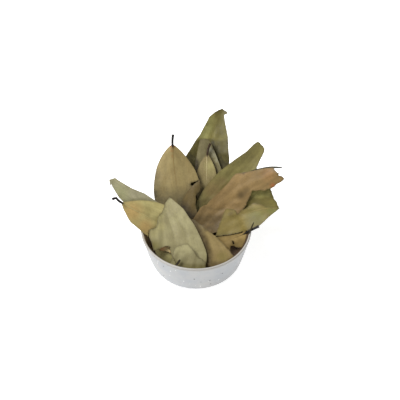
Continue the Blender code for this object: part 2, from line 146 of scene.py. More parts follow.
class Leaf:
    """One leaf. Each midrib point is (across, up, layer, left lift, right lift), as in the part."""

    def __init__(self, midrib, width, widest=0.43, fullness=2.1, stalk=0.0, roll=0.0, ripple=0.5):
        self.curve = smooth_through(midrib, 24)
        steps = np.linalg.norm(np.diff(self.curve[:, :2], axis=0), axis=1)
        self.along = np.concatenate([[0.0], np.cumsum(steps)])
        self.length = self.along[-1]
        self.half = width / 2
        self.widest = widest
        self.fullness = fullness
        self.stalk = stalk
        self.roll = math.radians(roll)
        self.ripple = ripple

    def half_width(self, y):
        """Half the width of the whole blade at a distance along its midrib."""
        t = np.clip((y - self.stalk) / (self.length - self.stalk), 0.0, 1.0)
        rise = (t / self.widest) ** self.widest
        fall = ((1 - t) / (1 - self.widest)) ** (1 - self.widest)
        return self.half * (rise * fall) ** self.fullness

    def flatten(self, outline):
        """Distances across and along the leaf of points given on the leaning plane."""
        flat = []
        start, step = self.curve[:-1, :2], np.diff(self.curve[:, :2], axis=0)
        for point in outline:
            share = np.einsum("ij,ij->i", point - start, step) / np.einsum("ij,ij->i", step, step)
            share[1:-1] = np.clip(share[1:-1], 0.0, 1.0)
            share[0], share[-1] = min(share[0], 1.0), max(share[-1], 0.0)
            off = point - start - share[:, None] * step
            best = int(np.argmin(np.einsum("ij,ij->i", off, off)))
            size = np.linalg.norm(step[best])
            right = np.array([step[best][1], -step[best][0]]) / size
            flat.append((off[best] @ right, self.along[best] + share[best] * size))
        return flat

    def surface(self, x, y):
        """The middle of the blade, on the leaning plane, for arrays of flat positions."""
        mid = np.stack([np.interp(y, self.along, column) for column in self.curve.T], axis=-1)
        ahead = np.stack([np.interp(y + 1.0, self.along, c) for c in self.curve.T[:2]], axis=-1)
        behind = np.stack([np.interp(y - 1.0, self.along, c) for c in self.curve.T[:2]], axis=-1)
        way = (ahead - behind) / np.linalg.norm(ahead - behind, axis=-1)[..., None]
        share = x / np.maximum(self.half_width(y), 2.5)
        lift = np.where(x < 0, mid[..., 3], mid[..., 4])
        bend = lift * np.minimum(np.abs(share), 1.5) ** 1.4
        bend = bend + self.ripple * np.abs(share) ** 2 * np.sin(y / 7.0 + np.where(x < 0, 0.0, 2.0))
        flat_x = x * math.cos(self.roll)
        return np.stack(
            [
                mid[..., 0] + flat_x * way[..., 1],
                mid[..., 1] - flat_x * way[..., 0],
                mid[..., 2] + x * math.sin(self.roll) + bend,
            ],
            axis=-1,
        )

    def normal(self, x, y):
        step = 0.5
        way_x = self.surface(x + step, y) - self.surface(x - step, y)
        way_y = self.surface(x, y + step) - self.surface(x, y - step)
        across = np.cross(way_x, way_y)
        return across / np.linalg.norm(across, axis=-1)[:, None]

    def side_vein(self, y):
        """How far from the midrib a long side vein runs."""
        t = np.clip((y - self.stalk) / (self.length - self.stalk), 0.0, 1.0)
        leaves_midrib = np.clip(t / 0.16, 0, 1) ** 0.6
        return self.half_width(y) * SIDE_VEIN * leaves_midrib * (1 - 0.25 * t)

    def relief(self, x, y, ridges, crumple, seed):
        """How far the surface stands out before the plain blade: swollen between its veins."""
        vein = self.side_vein(y)
        share = np.abs(x) / np.maximum(self.half_width(y), 1.0)
        nearest = np.minimum(np.abs(x), np.abs(np.abs(x) - vein))
        quilt = 1 - np.exp(-((nearest / 2.6) ** 2))
        room = np.clip(self.half_width(y) / 8.0, 0, 1)
        long_ridges = np.cos(share * math.pi * 2 * 3.5) * np.clip(share * 3, 0, 1)
        wave = np.sin(y * 0.31 + seed + 1.3 * np.sin(x * 0.23 + seed * 2.1))
        wave = wave * np.sin(x * 0.37 + seed * 1.7 + 0.8 * np.sin(y * 0.17 - seed))
        fine = np.sin(y * 1.05 + 2.0 * np.sin(x * 0.61 + seed)) * np.sin(x * 0.83 + y * 0.12 + seed * 3)
        return 0.28 * quilt * room + ridges * long_ridges * room + crumple * (wave + 0.35 * fine)


def inside(points, polygon):
    """Whether each point lies inside a polygon."""
    x, y = points[:, 0], points[:, 1]
    crossings = np.zeros(len(points), bool)
    for (ax, ay), (bx, by) in zip(polygon, polygon[1:] + polygon[:1]):
        if ay != by:
            crossings ^= ((ay > y) != (by > y)) & (x < (bx - ax) * (y - ay) / (by - ay) + ax)
    return crossings


def distance_to(points, line, closed=True):
    """Shortest distance from each point to a polygon's edge, or to an open line."""
    nearest = np.full(len(points), 1e9)
    line = np.array(line)
    for a, b in zip(line if closed else line[:-1], np.roll(line, -1, axis=0)):
        step = b - a
        share = np.clip((points - a) @ step / max(step @ step, 1e-9), 0, 1)
        nearest = np.minimum(nearest, np.linalg.norm(points - a - share[:, None] * step, axis=1))
    return nearest


def ragged(polygon, rng):
    """A torn outline: the polygon's sides broken into short uneven jags."""
    torn = []
    for a, b in zip(np.array(polygon), np.array(polygon[1:] + polygon[:1])):
        torn.append(tuple(a))
        length = np.linalg.norm(b - a)
        count = min(int(length / TEAR_STEP), 60)
        side = np.array([b[1] - a[1], a[0] - b[0]]) / max(length, 1e-6)
        for i in range(1, count):
            jag = rng.uniform(-TEAR_JAG, TEAR_JAG)
            torn.append(tuple(a + (b - a) * i / count + side * jag))
    return torn


def blade_outline(leaf):
    """The outline of the whole blade, laid flat."""
    rows = max(16, round((leaf.length - leaf.stalk) / MESH_SIZE))
    spread = [0.5 - 0.5 * math.cos(math.pi * i / rows) for i in range(1, rows)]
    stations = [leaf.stalk + (leaf.length - leaf.stalk) * s for s in spread]
    right = [(max(float(leaf.half_width(y)), 0.3), y) for y in stations]
    left = [(-x, y) for x, y in reversed(right)]
    return [(0.0, leaf.stalk)] + right + [(0.0, leaf.length)] + left


def blade_triangles(leaf, keep, cut, creases):
    """Flat points and triangles of the blade, with the torn parts cut away and edges on creases."""
    points, edges = [], []
    for polygon in keep + cut:
        first = len(points)
        points += polygon
        edges += [(first + i, first + (i + 1) % len(polygon)) for i in range(len(polygon))]
    for line in creases:
        first = len(points)
        points += line
        edges += [(first + i, first + i + 1) for i in range(len(line) - 1)]
    rows = round((leaf.length - leaf.stalk) / MESH_SIZE)
    grid = []
    for row in range(1, rows):
        y = leaf.stalk + (leaf.length - leaf.stalk) * row / rows
        reach = int(leaf.half_width(y) / MESH_SIZE) + 1
        grid += [((i + 0.5 * (row % 2)) * MESH_SIZE, y) for i in range(-reach, reach + 1)]
    grid = np.array(grid)
    for polygon in keep:
        grid = grid[inside(grid, polygon)]
    for polygon in cut:
        grid = grid[~inside(grid, polygon)]
    for polygon in keep + cut:
        grid = grid[distance_to(grid, polygon) > MESH_SIZE * 0.45]
    for line in creases:
        grid = grid[distance_to(grid, line, closed=False) > MESH_SIZE * 0.45]
    points += [tuple(p) for p in grid]
    flat, _, triangles, _, _, _ = delaunay_2d_cdt([Vector(p) for p in points], edges, [], 0, 0.02)
    flat = np.array([p[:2] for p in flat])
    triangles = np.array(triangles)
    middles = flat[triangles].mean(axis=1)
    kept = np.ones(len(triangles), bool)
    for polygon in keep:
        kept &= inside(middles, polygon)
    for polygon in cut:
        kept &= ~inside(middles, polygon)
    used, numbers = np.unique(triangles[kept], return_inverse=True)
    return flat[used], numbers.reshape(-1, 3)


def vein_paths(leaf, keep, cut):
    """Flat points along the stalk and midrib, the side veins and the thin ladder veins."""
    ys = np.linspace(0 if leaf.stalk else 1.0, leaf.length - 1.0, int(leaf.length / 2.0))
    run = (ys - leaf.stalk) / (leaf.length - leaf.stalk)
    blade_part = np.clip(1 - run * 0.9, 0.15, 1)
    on_stalk = np.clip(1 - (ys - leaf.stalk) / 5.0, 0, 1) if leaf.stalk else ys * 0
    midrib = MIDRIB_RADIUS * blade_part + (STALK_RADIUS - MIDRIB_RADIUS) * on_stalk
    if leaf.stalk:
        midrib = midrib + 0.3 * np.clip(1 - ys / 2.5, 0, 1)
    paths = [(np.stack([ys * 0, ys], -1), midrib, on_stalk)]
    upper = ys[ys > leaf.stalk + 2.0]
    for side in (-1, 1):
        share = (upper - leaf.stalk) / (leaf.length - leaf.stalk)
        path = np.stack([side * leaf.side_vein(upper), upper], -1)
        paths.append((path, SIDE_VEIN_RADIUS * np.clip(1 - share, 0.25, 1), upper * 0))
        for y in np.arange(leaf.stalk + 12, leaf.length - 14, CROSS_VEIN_GAP):
            vein = float(leaf.side_vein(y))
            edge = float(leaf.half_width(y))
            if edge > 5:
                reach = np.linspace(0, 1, 5)
                bow = 1.6 * np.sin(reach * math.pi)
                inner = np.stack([side * vein * reach, y + bow + reach * 1.5], -1)
                paths.append((inner, CROSS_VEIN_RADIUS + reach * 0, reach * 0))
                outer = np.stack([side * (vein + (edge * 0.93 - vein) * reach), y + reach * 4.5], -1)
                paths.append((outer, CROSS_VEIN_RADIUS - 0.06 * reach, reach * 0))
    clipped = []
    for path, radius, root in paths:
        keep_point = np.ones(len(path), bool)
        for polygon in keep:
            margin = distance_to(path, polygon) > 0.2
            keep_point &= (inside(path, polygon) & margin) | (root > 0.3)
        for polygon in cut:
            keep_point &= ~inside(path, polygon) & (distance_to(path, polygon) > 0.3)
        breaks = np.flatnonzero(np.diff(keep_point.astype(int))) + 1
        for part in np.split(np.arange(len(path)), breaks):
            if len(part) > 2 and keep_point[part[0]]:
                clipped.append((path[part], radius[part], root[part]))
    return clipped


def vein_tree():
    """Geometry nodes that turn polylines into tapering round veins and stalks."""
    tree = bpy.data.node_groups.new("veins_along_paths", "GeometryNodeTree")
    interface = tree.interface
    interface.new_socket("Paths", in_out="INPUT", socket_type="NodeSocketGeometry")
    sides = interface.new_socket("Vein sides", in_out="INPUT", socket_type="NodeSocketInt")
    sides.default_value = 6
    scale = interface.new_socket("Vein thickness", in_out="INPUT", socket_type="NodeSocketFloat")
    scale.default_value = 1.0
    interface.new_socket("Vein finish", in_out="INPUT", socket_type="NodeSocketMaterial")
    interface.new_socket("Veins", in_out="OUTPUT", socket_type="NodeSocketGeometry")
    given = tree.nodes.new("NodeGroupInput").outputs
    curve = add(tree, "GeometryNodeMeshToCurve", {"Mesh": given["Paths"]}).outputs[0]
    radius = add(tree, "GeometryNodeInputNamedAttribute", {"Name": "vein_radius"}).outputs[0]
    width = add(
        tree, "ShaderNodeMath", {0: radius, 1: given["Vein thickness"]}, operation="MULTIPLY"
    ).outputs[0]
    ring = add(tree, "GeometryNodeCurvePrimitiveCircle", {"Resolution": given["Vein sides"], "Radius": 1.0})
    tube = add(
        tree,
        "GeometryNodeCurveToMesh",
        {"Curve": curve, "Profile Curve": ring.outputs[0], "Scale": width, "Fill Caps": True},
    ).outputs[0]
    solid = add(tree, "GeometryNodeRealizeInstances", {"Geometry": tube}).outputs[0]
    finished = add(tree, "GeometryNodeSetMaterial", {"Geometry": solid, "Material": given["Vein finish"]})
    output = tree.nodes.new("NodeGroupOutput")
    tree.links.new(finished.outputs[0], output.inputs["Veins"])
    return tree


def grow_veins(name, paths, tree, finish):
    """Run the vein nodes on polylines of (points in metres, radii in metres, share of stalk)."""
    mesh = bpy.data.meshes.new(name)
    verts, edges = [], []
    for points, _, _ in paths:
        edges += [(len(verts) + i, len(verts) + i + 1) for i in range(len(points) - 1)]
        verts += [tuple(p) for p in points]
    mesh.from_pydata(verts, edges, [])
    for key, column in (("vein_radius", 1), ("root", 2)):
        values = mesh.attributes.new(key, "FLOAT", "POINT")
        values.data.foreach_set("value", np.concatenate([p[column] for p in paths]).astype(np.float32))
    held = bpy.data.objects.new(name, mesh)
    bpy.context.scene.collection.objects.link(held)
    grown = held.modifiers.new("grow", "NODES")
    grown.node_group = tree
    socket = {s.name: s.identifier for s in tree.interface.items_tree if s.in_out == "INPUT"}
    grown[socket["Vein sides"]] = 6
    grown[socket["Vein thickness"]] = 1.0
    grown[socket["Vein finish"]] = finish
    seen = held.evaluated_get(bpy.context.evaluated_depsgraph_get())
    made = bpy.data.meshes.new_from_object(seen)
    bpy.data.objects.remove(held, do_unlink=True)
    return made


def write_attribute(mesh, name, values):
    """Store a number, or a vector, for each point of a mesh."""
    kind, field = ("FLOAT", "value") if values.ndim == 1 else ("FLOAT_VECTOR", "vector")
    stored = mesh.attributes.new(name, kind, "POINT")
    stored.data.foreach_set(field, values.astype(np.float32).ravel())


def spots(place, patches):
    """How strong round patches of (across, up, radius, strength) are at each place."""
    strength = np.zeros(len(place))
    for across, up, radius, most in patches:
        reach = np.hypot(place[:, 0] - across, place[:, 1] - up) / radius
        strength = np.maximum(strength, most * np.clip(1.4 - reach, 0, 1))
    return strength


def areas(place, patches):
    """The same for patches with an outline: (outline, width of the soft edge, strength)."""
    strength = np.zeros(len(place))
    for outline, soft, most in patches:
        away = distance_to(place, outline)
        depth = np.where(inside(place, outline), away, -away)
        strength = np.maximum(strength, most * np.clip(0.5 + depth / soft, 0, 1))
    return strength


def make_leaf(name, tree, parts, look, number):
    leaf = parts["leaf"]
    rng = np.random.default_rng(700 + number)
    keep = [blade_outline(leaf)]
    if "piece" in parts:
        keep.append(ragged(leaf.flatten(parts["piece"]), rng))
    torn = [ragged(leaf.flatten(tear), rng) for tear in parts.get("tears", ())]
    cut = torn + [leaf.flatten(trim) for trim in parts.get("trims", ())]
    creases = [
        (leaf.flatten(smooth_through(line, 6)), rise, dark)
        for line, rise, dark in look.get("creases", ())
    ]
    flat, triangles = blade_triangles(leaf, keep, cut, [line for line, _, _ in creases])
    x, y = flat[:, 0], flat[:, 1]
    seed = 1.0 + number * 0.77

    def stand_out(x, y):
        height = leaf.relief(x, y, look.get("ridges", 0.0), look.get("crumple", 0.12), seed)
        for line, rise, _ in creases:
            away = distance_to(np.stack([x, y], -1), line, closed=False)
            height = height + rise * np.exp(-away / CREASE_SPREAD)
        return height

    normal = leaf.normal(x, y)
    middle = leaf.surface(x, y) + normal * stand_out(x, y)[:, None]
    front = middle + normal * BLADE / 2
    back = middle - normal * BLADE / 2
    count = len(flat)
    faces = [tuple(t) for t in triangles] + [tuple(t + count) for t in triangles[:, ::-1]]
    ways = {(a, b) for t in triangles for a, b in ((t[0], t[1]), (t[1], t[2]), (t[2], t[0]))}
    for a, b in ways:
        if (b, a) not in ways:
            faces.append((b, a, a + count, b + count))
    mesh = bpy.data.meshes.new(name)
    mesh.from_pydata([tuple(p) for p in to_world(np.concatenate([front, back]))], [], faces)

    blade = np.stack([x, y, x / np.maximum(leaf.half_width(y), 0.5)], -1)
    write_attribute(mesh, "blade", np.concatenate([blade, blade]))
    write_attribute(mesh, "on_back", np.repeat([0.0, 1.0], count))
    vein_distance = np.minimum(np.abs(x), np.abs(np.abs(x) - leaf.side_vein(y)))
    write_attribute(mesh, "near_vein", np.tile(np.exp(-vein_distance / 1.3), 2))
    # dark line along tears, margins and creases: browning of torn edges, and painted shade in the gaps and
    # folds
    dark_line = np.zeros(count)
    for polygon in keep + cut:
        browning_and_painted_shade = 1.0 if polygon in keep[1:] + torn else SMOOTH_RIM
        dark_line = np.maximum(dark_line, browning_and_painted_shade * np.exp(-distance_to(flat, polygon) / TORN_RIM))
    for line, _, dark in creases:
        away = distance_to(flat, line, closed=False)
        dark_line = np.maximum(dark_line, dark * np.exp(-away / CREASE_LINE))
    write_attribute(mesh, "dark_line", np.tile(dark_line, 2))
    place = leaf.surface(x, y)[:, :2]
    # stain attribute: real stains, and painted shade over the shade areas
    stain_and_painted_shade = np.maximum(spots(place, look.get("stains", ())), areas(place, look.get("painted_shades", ())))
    write_attribute(mesh, "stain_and_painted_shade", np.tile(stain_and_painted_shade, 2))
    # tint attribute: local changes of hue, and in places painted light
    write_attribute(mesh, "tint_and_painted_light", np.tile(spots(place, look.get("tints_and_painted_light", ())), 2))
    title = name.replace("leaf", "bay_leaf")
    vein_finish = woody_vein(title + "_veins", look["vein"], look.get("stalk", look["vein"]))
    mesh.materials.append(bay_leaf(title + "_skin", look))
    mesh.materials.append(vein_finish)

    paths = []
    for path, radius, root in vein_paths(leaf, keep, cut):
        px, py = path[:, 0], path[:, 1]
        sunk = VEIN_SUNK * np.clip(radius / 0.3, 0, 1)
        lift = (stand_out(px, py) - sunk) * (1 - root)
        points = leaf.surface(px, py) + leaf.normal(px, py) * lift[:, None]
        # veins thin out inside the painted shade areas, so that none stands bright there
        shown = 1 - SHADED_VEIN * areas(points[:, :2], look.get("painted_shades", ())) * (1 - root)
        paths.append((to_world(points), radius * shown * MM, root))
    bm = bmesh.new()
    bm.from_mesh(mesh)
    if paths:
        veins = grow_veins(name + "_veins", paths, tree, vein_finish)
        first = len(bm.faces)
        bm.from_mesh(veins)
        bm.faces.ensure_lookup_table()
        for face in bm.faces[first:]:
            face.material_index = 1
        bpy.data.meshes.remove(veins)
    bmesh.ops.recalc_face_normals(bm, faces=bm.faces)
    bm.to_mesh(mesh)
    bm.free()
    mesh.shade_smooth()
    mesh.set_sharp_from_angle(angle=math.radians(60))
    made = bpy.data.objects.new(name + "_dry", mesh)
    bpy.context.scene.collection.objects.link(made)
    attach(made, "root")
    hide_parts(name)


# ---------------------------------------------------------------- finishes


def finish_with(tree, inputs):
    """Close a material with one shader."""
    shader = add(tree, "ShaderNodeBsdfPrincipled", inputs)
    add(tree, "ShaderNodeOutputMaterial", {"Surface": shader.outputs[0]})


def speck(tree, cells, core, reach, share, most):
    """Strength of a round speck in some of a Voronoi node's cells."""
    fade = {"From Min": core, "From Max": reach, "To Min": most, "To Max": 0.0}
    dot = add(tree, "ShaderNodeMapRange", {"Value": cells.outputs["Distance"], **fade}).outputs[0]
    pick = add(tree, "ShaderNodeSeparateColor", {"Color": cells.outputs["Color"]}).outputs[0]
    chosen = add(tree, "ShaderNodeMath", {0: pick, 1: share}, operation="GREATER_THAN").outputs[0]
    return add(tree, "ShaderNodeMath", {0: dot, 1: chosen}, operation="MULTIPLY").outputs[0]


def layered(tree, ground, *layers):
    """Colour of a ground with others laid over it, each (strength, colour, way of blending)."""
    for strength, over, blend in layers:
        mixed = add(
            tree,
            "ShaderNodeMix",
            {"Factor_Float": strength, "A_Color": ground, "B_Color": over},
            data_type="RGBA",
            blend_type=blend,
        )
        ground = next(socket for socket in mixed.outputs if socket.type == "RGBA")
    return ground


def bay_leaf(name, look):
    """Dried Cinnamomum leaf: a thin waxy skin over fibre, half matt, mottled, streaked lengthwise.

    base and second mix in blotches about a centimetre wide, stain is the brown of bruised parts and of
    painted shade, tint a local change of hue and in places painted light, and back is the paler underside.
    """
    made, tree = new_material(name)
    place = add(tree, "ShaderNodeTexCoord").outputs["Object"]
    blade = add(tree, "ShaderNodeAttribute", attribute_name="blade").outputs["Vector"]
    stain_and_painted_shade, tint_and_painted_light, on_back, near_vein, dark_line = [
        add(tree, "ShaderNodeAttribute", attribute_name=key).outputs["Fac"]
        for key in ("stain_and_painted_shade", "tint_and_painted_light", "on_back", "near_vein", "dark_line")
    ]
    # blotches 12 mm across
    cloud = {"Vector": place, "Scale": 85.0, "Detail": 4.0, "Roughness": 0.6}
    blotch = add(tree, "ShaderNodeTexNoise", cloud).outputs["Fac"]
    spread = {"Value": blotch, "From Min": 0.36, "From Max": 0.64}
    blotched = add(tree, "ShaderNodeMapRange", spread).outputs[0]
    # fibres run along the leaf, 1 mm wide and 12 mm long, over mottling 1.5 mm across
    along = add(tree, "ShaderNodeMapping", {"Vector": blade, "Scale": (1.0, 0.08, 0.0)}).outputs[0]
    fibre = add(tree, "ShaderNodeTexNoise", {"Vector": along, "Scale": 1.0, "Detail": 3.0})
    mottle = add(tree, "ShaderNodeTexNoise", {"Vector": place, "Scale": 640.0, "Detail": 3.0})
    both = {0: fibre.outputs["Fac"], 1: mottle.outputs["Fac"]}
    grain = add(tree, "ShaderNodeMath", both, operation="ADD").outputs[0]
    swing = {"Value": grain, "From Min": 0.7, "From Max": 1.3}
    light = add(tree, "ShaderNodeMapRange", {**swing, "To Min": 0.9, "To Max": 1.1}).outputs[0]
    gloss = add(tree, "ShaderNodeMapRange", {**swing, "To Min": 0.48, "To Max": 0.66}).outputs[0]
    # bruises, and the painted shade, break up into patches 4 mm across
    patch = add(tree, "ShaderNodeTexNoise", {"Vector": place, "Scale": 230.0, "Detail": 3.0})
    uneven = {"Value": patch.outputs["Fac"], "From Min": 0.3, "From Max": 0.7, "To Min": 0.75, "To Max": 1.15}
    patchy = add(tree, "ShaderNodeMapRange", uneven).outputs[0]
    bruise_and_painted_shade = add(
        tree, "ShaderNodeMath", {0: stain_and_painted_shade, 1: patchy}, operation="MULTIPLY", use_clamp=True
    ).outputs[0]
    # the margin is a little browner over its last tenth
    share = add(tree, "ShaderNodeSeparateXYZ", {"Vector": blade}).outputs["Z"]
    outward = add(tree, "ShaderNodeMath", {0: share}, operation="ABSOLUTE").outputs[0]
    margin = {"Value": outward, "From Min": 0.9, "From Max": 1.0, "To Min": 0.0, "To Max": 0.12}
    rim = add(tree, "ShaderNodeMapRange", margin).outputs[0]
    # dark flecks, at most one in a 5 mm cell
    cells = add(tree, "ShaderNodeTexVoronoi", {"Vector": place, "Scale": 210.0})
    fleck = speck(tree, cells, 0.05, 0.11, 0.72, 0.5)
    # darker in the furrow beside a vein, paler on the back, and a dark line along tears, margins and creases:
    # browning of torn edges, and painted shade
    furrow = add(tree, "ShaderNodeMath", {0: near_vein, 1: 0.18}, operation="MULTIPLY").outputs[0]
    under = add(tree, "ShaderNodeMath", {0: on_back, 1: 0.75}, operation="MULTIPLY").outputs[0]
    browning_and_painted_shade = add(tree, "ShaderNodeMath", {0: dark_line, 1: 0.55}, operation="MULTIPLY").outputs[0]
    brown = hex_colour(look["stain_and_painted_shade"])
    colour = layered(
        tree,
        hex_colour(look["base"]),
        (blotched, hex_colour(look["second"]), "MIX"),
        (tint_and_painted_light, hex_colour(look.get("tint_and_painted_light", look["base"])), "MIX"),
        (1.0, light, "MULTIPLY"),
        (bruise_and_painted_shade, brown, "MIX"),
        (rim, brown, "MIX"),
        (fleck, hex_colour("#3c2f1c"), "MIX"),
        (furrow, brown, "MIX"),
        (under, hex_colour(look["back"]), "MIX"),
        (browning_and_painted_shade, hex_colour("#3d3212"), "MIX"),
    )
    # relief of the fibres and of the net of finest veins, 1 mm apart
    net = add(tree, "ShaderNodeTexVoronoi", {"Vector": place, "Scale": 900.0}, feature="DISTANCE_TO_EDGE")
    cut_in = {"Value": net.outputs["Distance"], "From Max": 0.12, "To Max": 0.5}
    netted = add(tree, "ShaderNodeMapRange", cut_in).outputs[0]
    relief = add(tree, "ShaderNodeMath", {0: grain, 1: netted}, operation="ADD").outputs[0]
    bump = add(tree, "ShaderNodeBump", {"Strength": 0.3, "Distance": 0.0003, "Height": relief}).outputs[0]
    finish_with(tree, {"Base Color": colour, "Roughness": gloss, "Specular IOR Level": 0.35, "Normal": bump})
    return made


def woody_vein(name, vein, stalk):
    """Dry vein and leaf stalk: hard fibre, the stalk darker, with a slight polish."""
    made, tree = new_material(name)
    place = add(tree, "ShaderNodeTexCoord").outputs["Object"]
    root = add(tree, "ShaderNodeAttribute", attribute_name="root").outputs["Fac"]
    # fibres about 1 mm apart
    grain = add(tree, "ShaderNodeTexNoise", {"Vector": place, "Scale": 900.0, "Detail": 3.0}).outputs["Fac"]
    light = add(tree, "ShaderNodeMapRange", {"Value": grain, "To Min": 0.75, "To Max": 1.2}).outputs[0]
    spread = add(tree, "ShaderNodeMath", {0: root, 1: 1.6}, operation="MULTIPLY", use_clamp=True).outputs[0]
    colour = layered(
        tree, hex_colour(vein), (spread, hex_colour(stalk), "MIX"), (1.0, light, "MULTIPLY")
    )
    bump = add(tree, "ShaderNodeBump", {"Strength": 0.5, "Distance": 0.0002, "Height": grain}).outputs[0]
    finish_with(tree, {"Base Color": colour, "Roughness": 0.55, "Specular IOR Level": 0.3, "Normal": bump})
    return made


def speckled_stoneware():
    """Glazed stoneware: satin pale grey glaze with iron specks outside, dark brown glaze inside."""
    made, tree = new_material("stoneware_speckled_glaze")
    place = add(tree, "ShaderNodeTexCoord").outputs["Object"]
    inner = add(tree, "ShaderNodeAttribute", attribute_name="inner").outputs["Fac"]
    lip = add(tree, "ShaderNodeAttribute", attribute_name="lip").outputs["Fac"]
    # clouds 17 mm across in the pale glaze
    cloud = {"Vector": place, "Scale": 60.0, "Detail": 4.0, "Roughness": 0.6}
    clouds = add(tree, "ShaderNodeTexNoise", cloud).outputs["Fac"]
    clouded = add(tree, "ShaderNodeMapRange", {"Value": clouds, "From Min": 0.35, "From Max": 0.65})
    layers = [(clouded.outputs[0], hex_colour(GLAZE_WARM), "MIX")]
    # specks by cell size in mm: iron spots, fine grey ones and pinholes of white glaze
    for cell, reach, share, shade in (
        (5.2, 0.18, 0.45, "#3a3838"),
        (4.0, 0.12, 0.6, "#8a8888"),
        (6.0, 0.13, 0.6, "#f2f2ee"),
    ):
        cells = add(tree, "ShaderNodeTexVoronoi", {"Vector": place, "Scale": 1000.0 / cell})
        layers.append((speck(tree, cells, reach * 0.6, reach, share, 1.0), hex_colour(shade), "MIX"))
    # inside, the brown glaze is thinner and lighter in runs down the wall
    run = add(tree, "ShaderNodeTexNoise", {"Vector": place, "Scale": 70.0, "Detail": 4.0}).outputs["Fac"]
    brown = layered(tree, hex_colour("#4a3a2a"), (run, hex_colour("#8a735c"), "MIX"))
    # painted shade and light: towards the key light's side the outside is painted a little greyer
    # and the inside wall lighter, which evens out the light
    across = add(tree, "ShaderNodeSeparateXYZ", {"Vector": place}).outputs["X"]
    fade = {"Value": across, "From Min": -0.052, "From Max": -0.028, "To Min": 1.0, "To Max": 0.0}
    left = add(tree, "ShaderNodeMapRange", fade).outputs[0]
    thin = layered(tree, brown, (left, hex_colour("#e2cba8"), "MIX"))
    layers += [
        (lip, hex_colour("#a19e99"), "MIX"),
        (left, hex_colour("#ebe9e6"), "MULTIPLY"),
        (inner, thin, "MIX"),
    ]
    colour = layered(tree, hex_colour(GLAZE_COOL), *layers)
    # orange peel 2.5 mm across
    peel = add(tree, "ShaderNodeTexNoise", {"Vector": place, "Scale": 420.0, "Detail": 2.0}).outputs["Fac"]
    bump = add(tree, "ShaderNodeBump", {"Strength": 0.25, "Distance": 0.0002, "Height": peel}).outputs[0]
    finish_with(tree, {"Base Color": colour, "Roughness": 0.42, "Specular IOR Level": 0.25, "Normal": bump})
    return made


# ---------------------------------------------------------------- bowl


def side_radius(z):
    return SIDE_RADIUS + (RIM_RADIUS - SIDE_RADIUS) * (z / BOWL_HEIGHT) ** SIDE_POWER


def bowl_profile():
    """The turned outline: (radius, height, inner glaze, lip) from the foot's middle to the floor's."""
    points = [(0.0, 0.0, 0, 0), ((SIDE_RADIUS - FOOT_ROUND) * 0.5, 0.0, 0, 0)]
    points.append((SIDE_RADIUS - FOOT_ROUND, 0.0, 0, 0))
    for step in range(1, 11):
        z = FOOT_ROUND * (1 - math.cos(step * math.pi / 20))
        inset = FOOT_ROUND - math.sqrt(FOOT_ROUND**2 - (FOOT_ROUND - z) ** 2)
        points.append((side_radius(z) - inset, z, 0, 0))
    lip = WALL / 2
    lip_z = BOWL_HEIGHT - lip
    points += [(side_radius(z), z, 0, 0) for z in np.linspace(8.0, 40.0, 13)]
    for step in range(13):
        turn = step * math.pi / 12
        inner = min(max((step - 8) / 3, 0), 1)
        points.append(
            (RIM_RADIUS - lip + lip * math.cos(turn), lip_z + lip * math.sin(turn), inner, step < 10)
        )
    points += [(side_radius(z) - WALL, z, 1, 0) for z in np.linspace(40.0, 14.0, 11)]
    corner = side_radius(FLOOR + FLOOR_ROUND) - WALL - FLOOR_ROUND
    for step in range(9):
        turn = step * math.pi / 16
        z = FLOOR + FLOOR_ROUND * (1 - math.sin(turn))
        points.append((corner + FLOOR_ROUND * math.cos(turn), z, 1, 0))
    points += [(corner * 0.5, FLOOR, 1, 0), (0.0, FLOOR, 1, 0)]
    return points


def make_bowl(finish):
    bm = bmesh.new()
    inner = bm.verts.layers.float.new("inner")
    lip = bm.verts.layers.float.new("lip")
    verts = []
    for radius, z, glaze, on_lip in bowl_profile():
        vert = bm.verts.new((radius * MM, 0.0, z * MM))
        vert[inner] = glaze
        vert[lip] = on_lip
        verts.append(vert)
    edges = [bm.edges.new(pair) for pair in zip(verts, verts[1:])]
    bmesh.ops.spin(
        bm,
        geom=verts + edges,
        axis=(0, 0, 1),
        cent=(0, 0, 0),
        angle=2 * math.pi,
        steps=BOWL_SIDES,
        use_merge=True,
    )
    bmesh.ops.remove_doubles(bm, verts=bm.verts, dist=1e-6)
    bmesh.ops.recalc_face_normals(bm, faces=bm.faces)
    mesh = bpy.data.meshes.new("bowl")
    bm.to_mesh(mesh)
    bm.free()
    mesh.shade_smooth()
    mesh.materials.append(finish)
    made = bpy.data.objects.new("bowl_glazed", mesh)
    bpy.context.scene.collection.objects.link(made)
    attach(made, "root")
    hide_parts("bowl")


# ---------------------------------------------------------------- the leaves, laid out

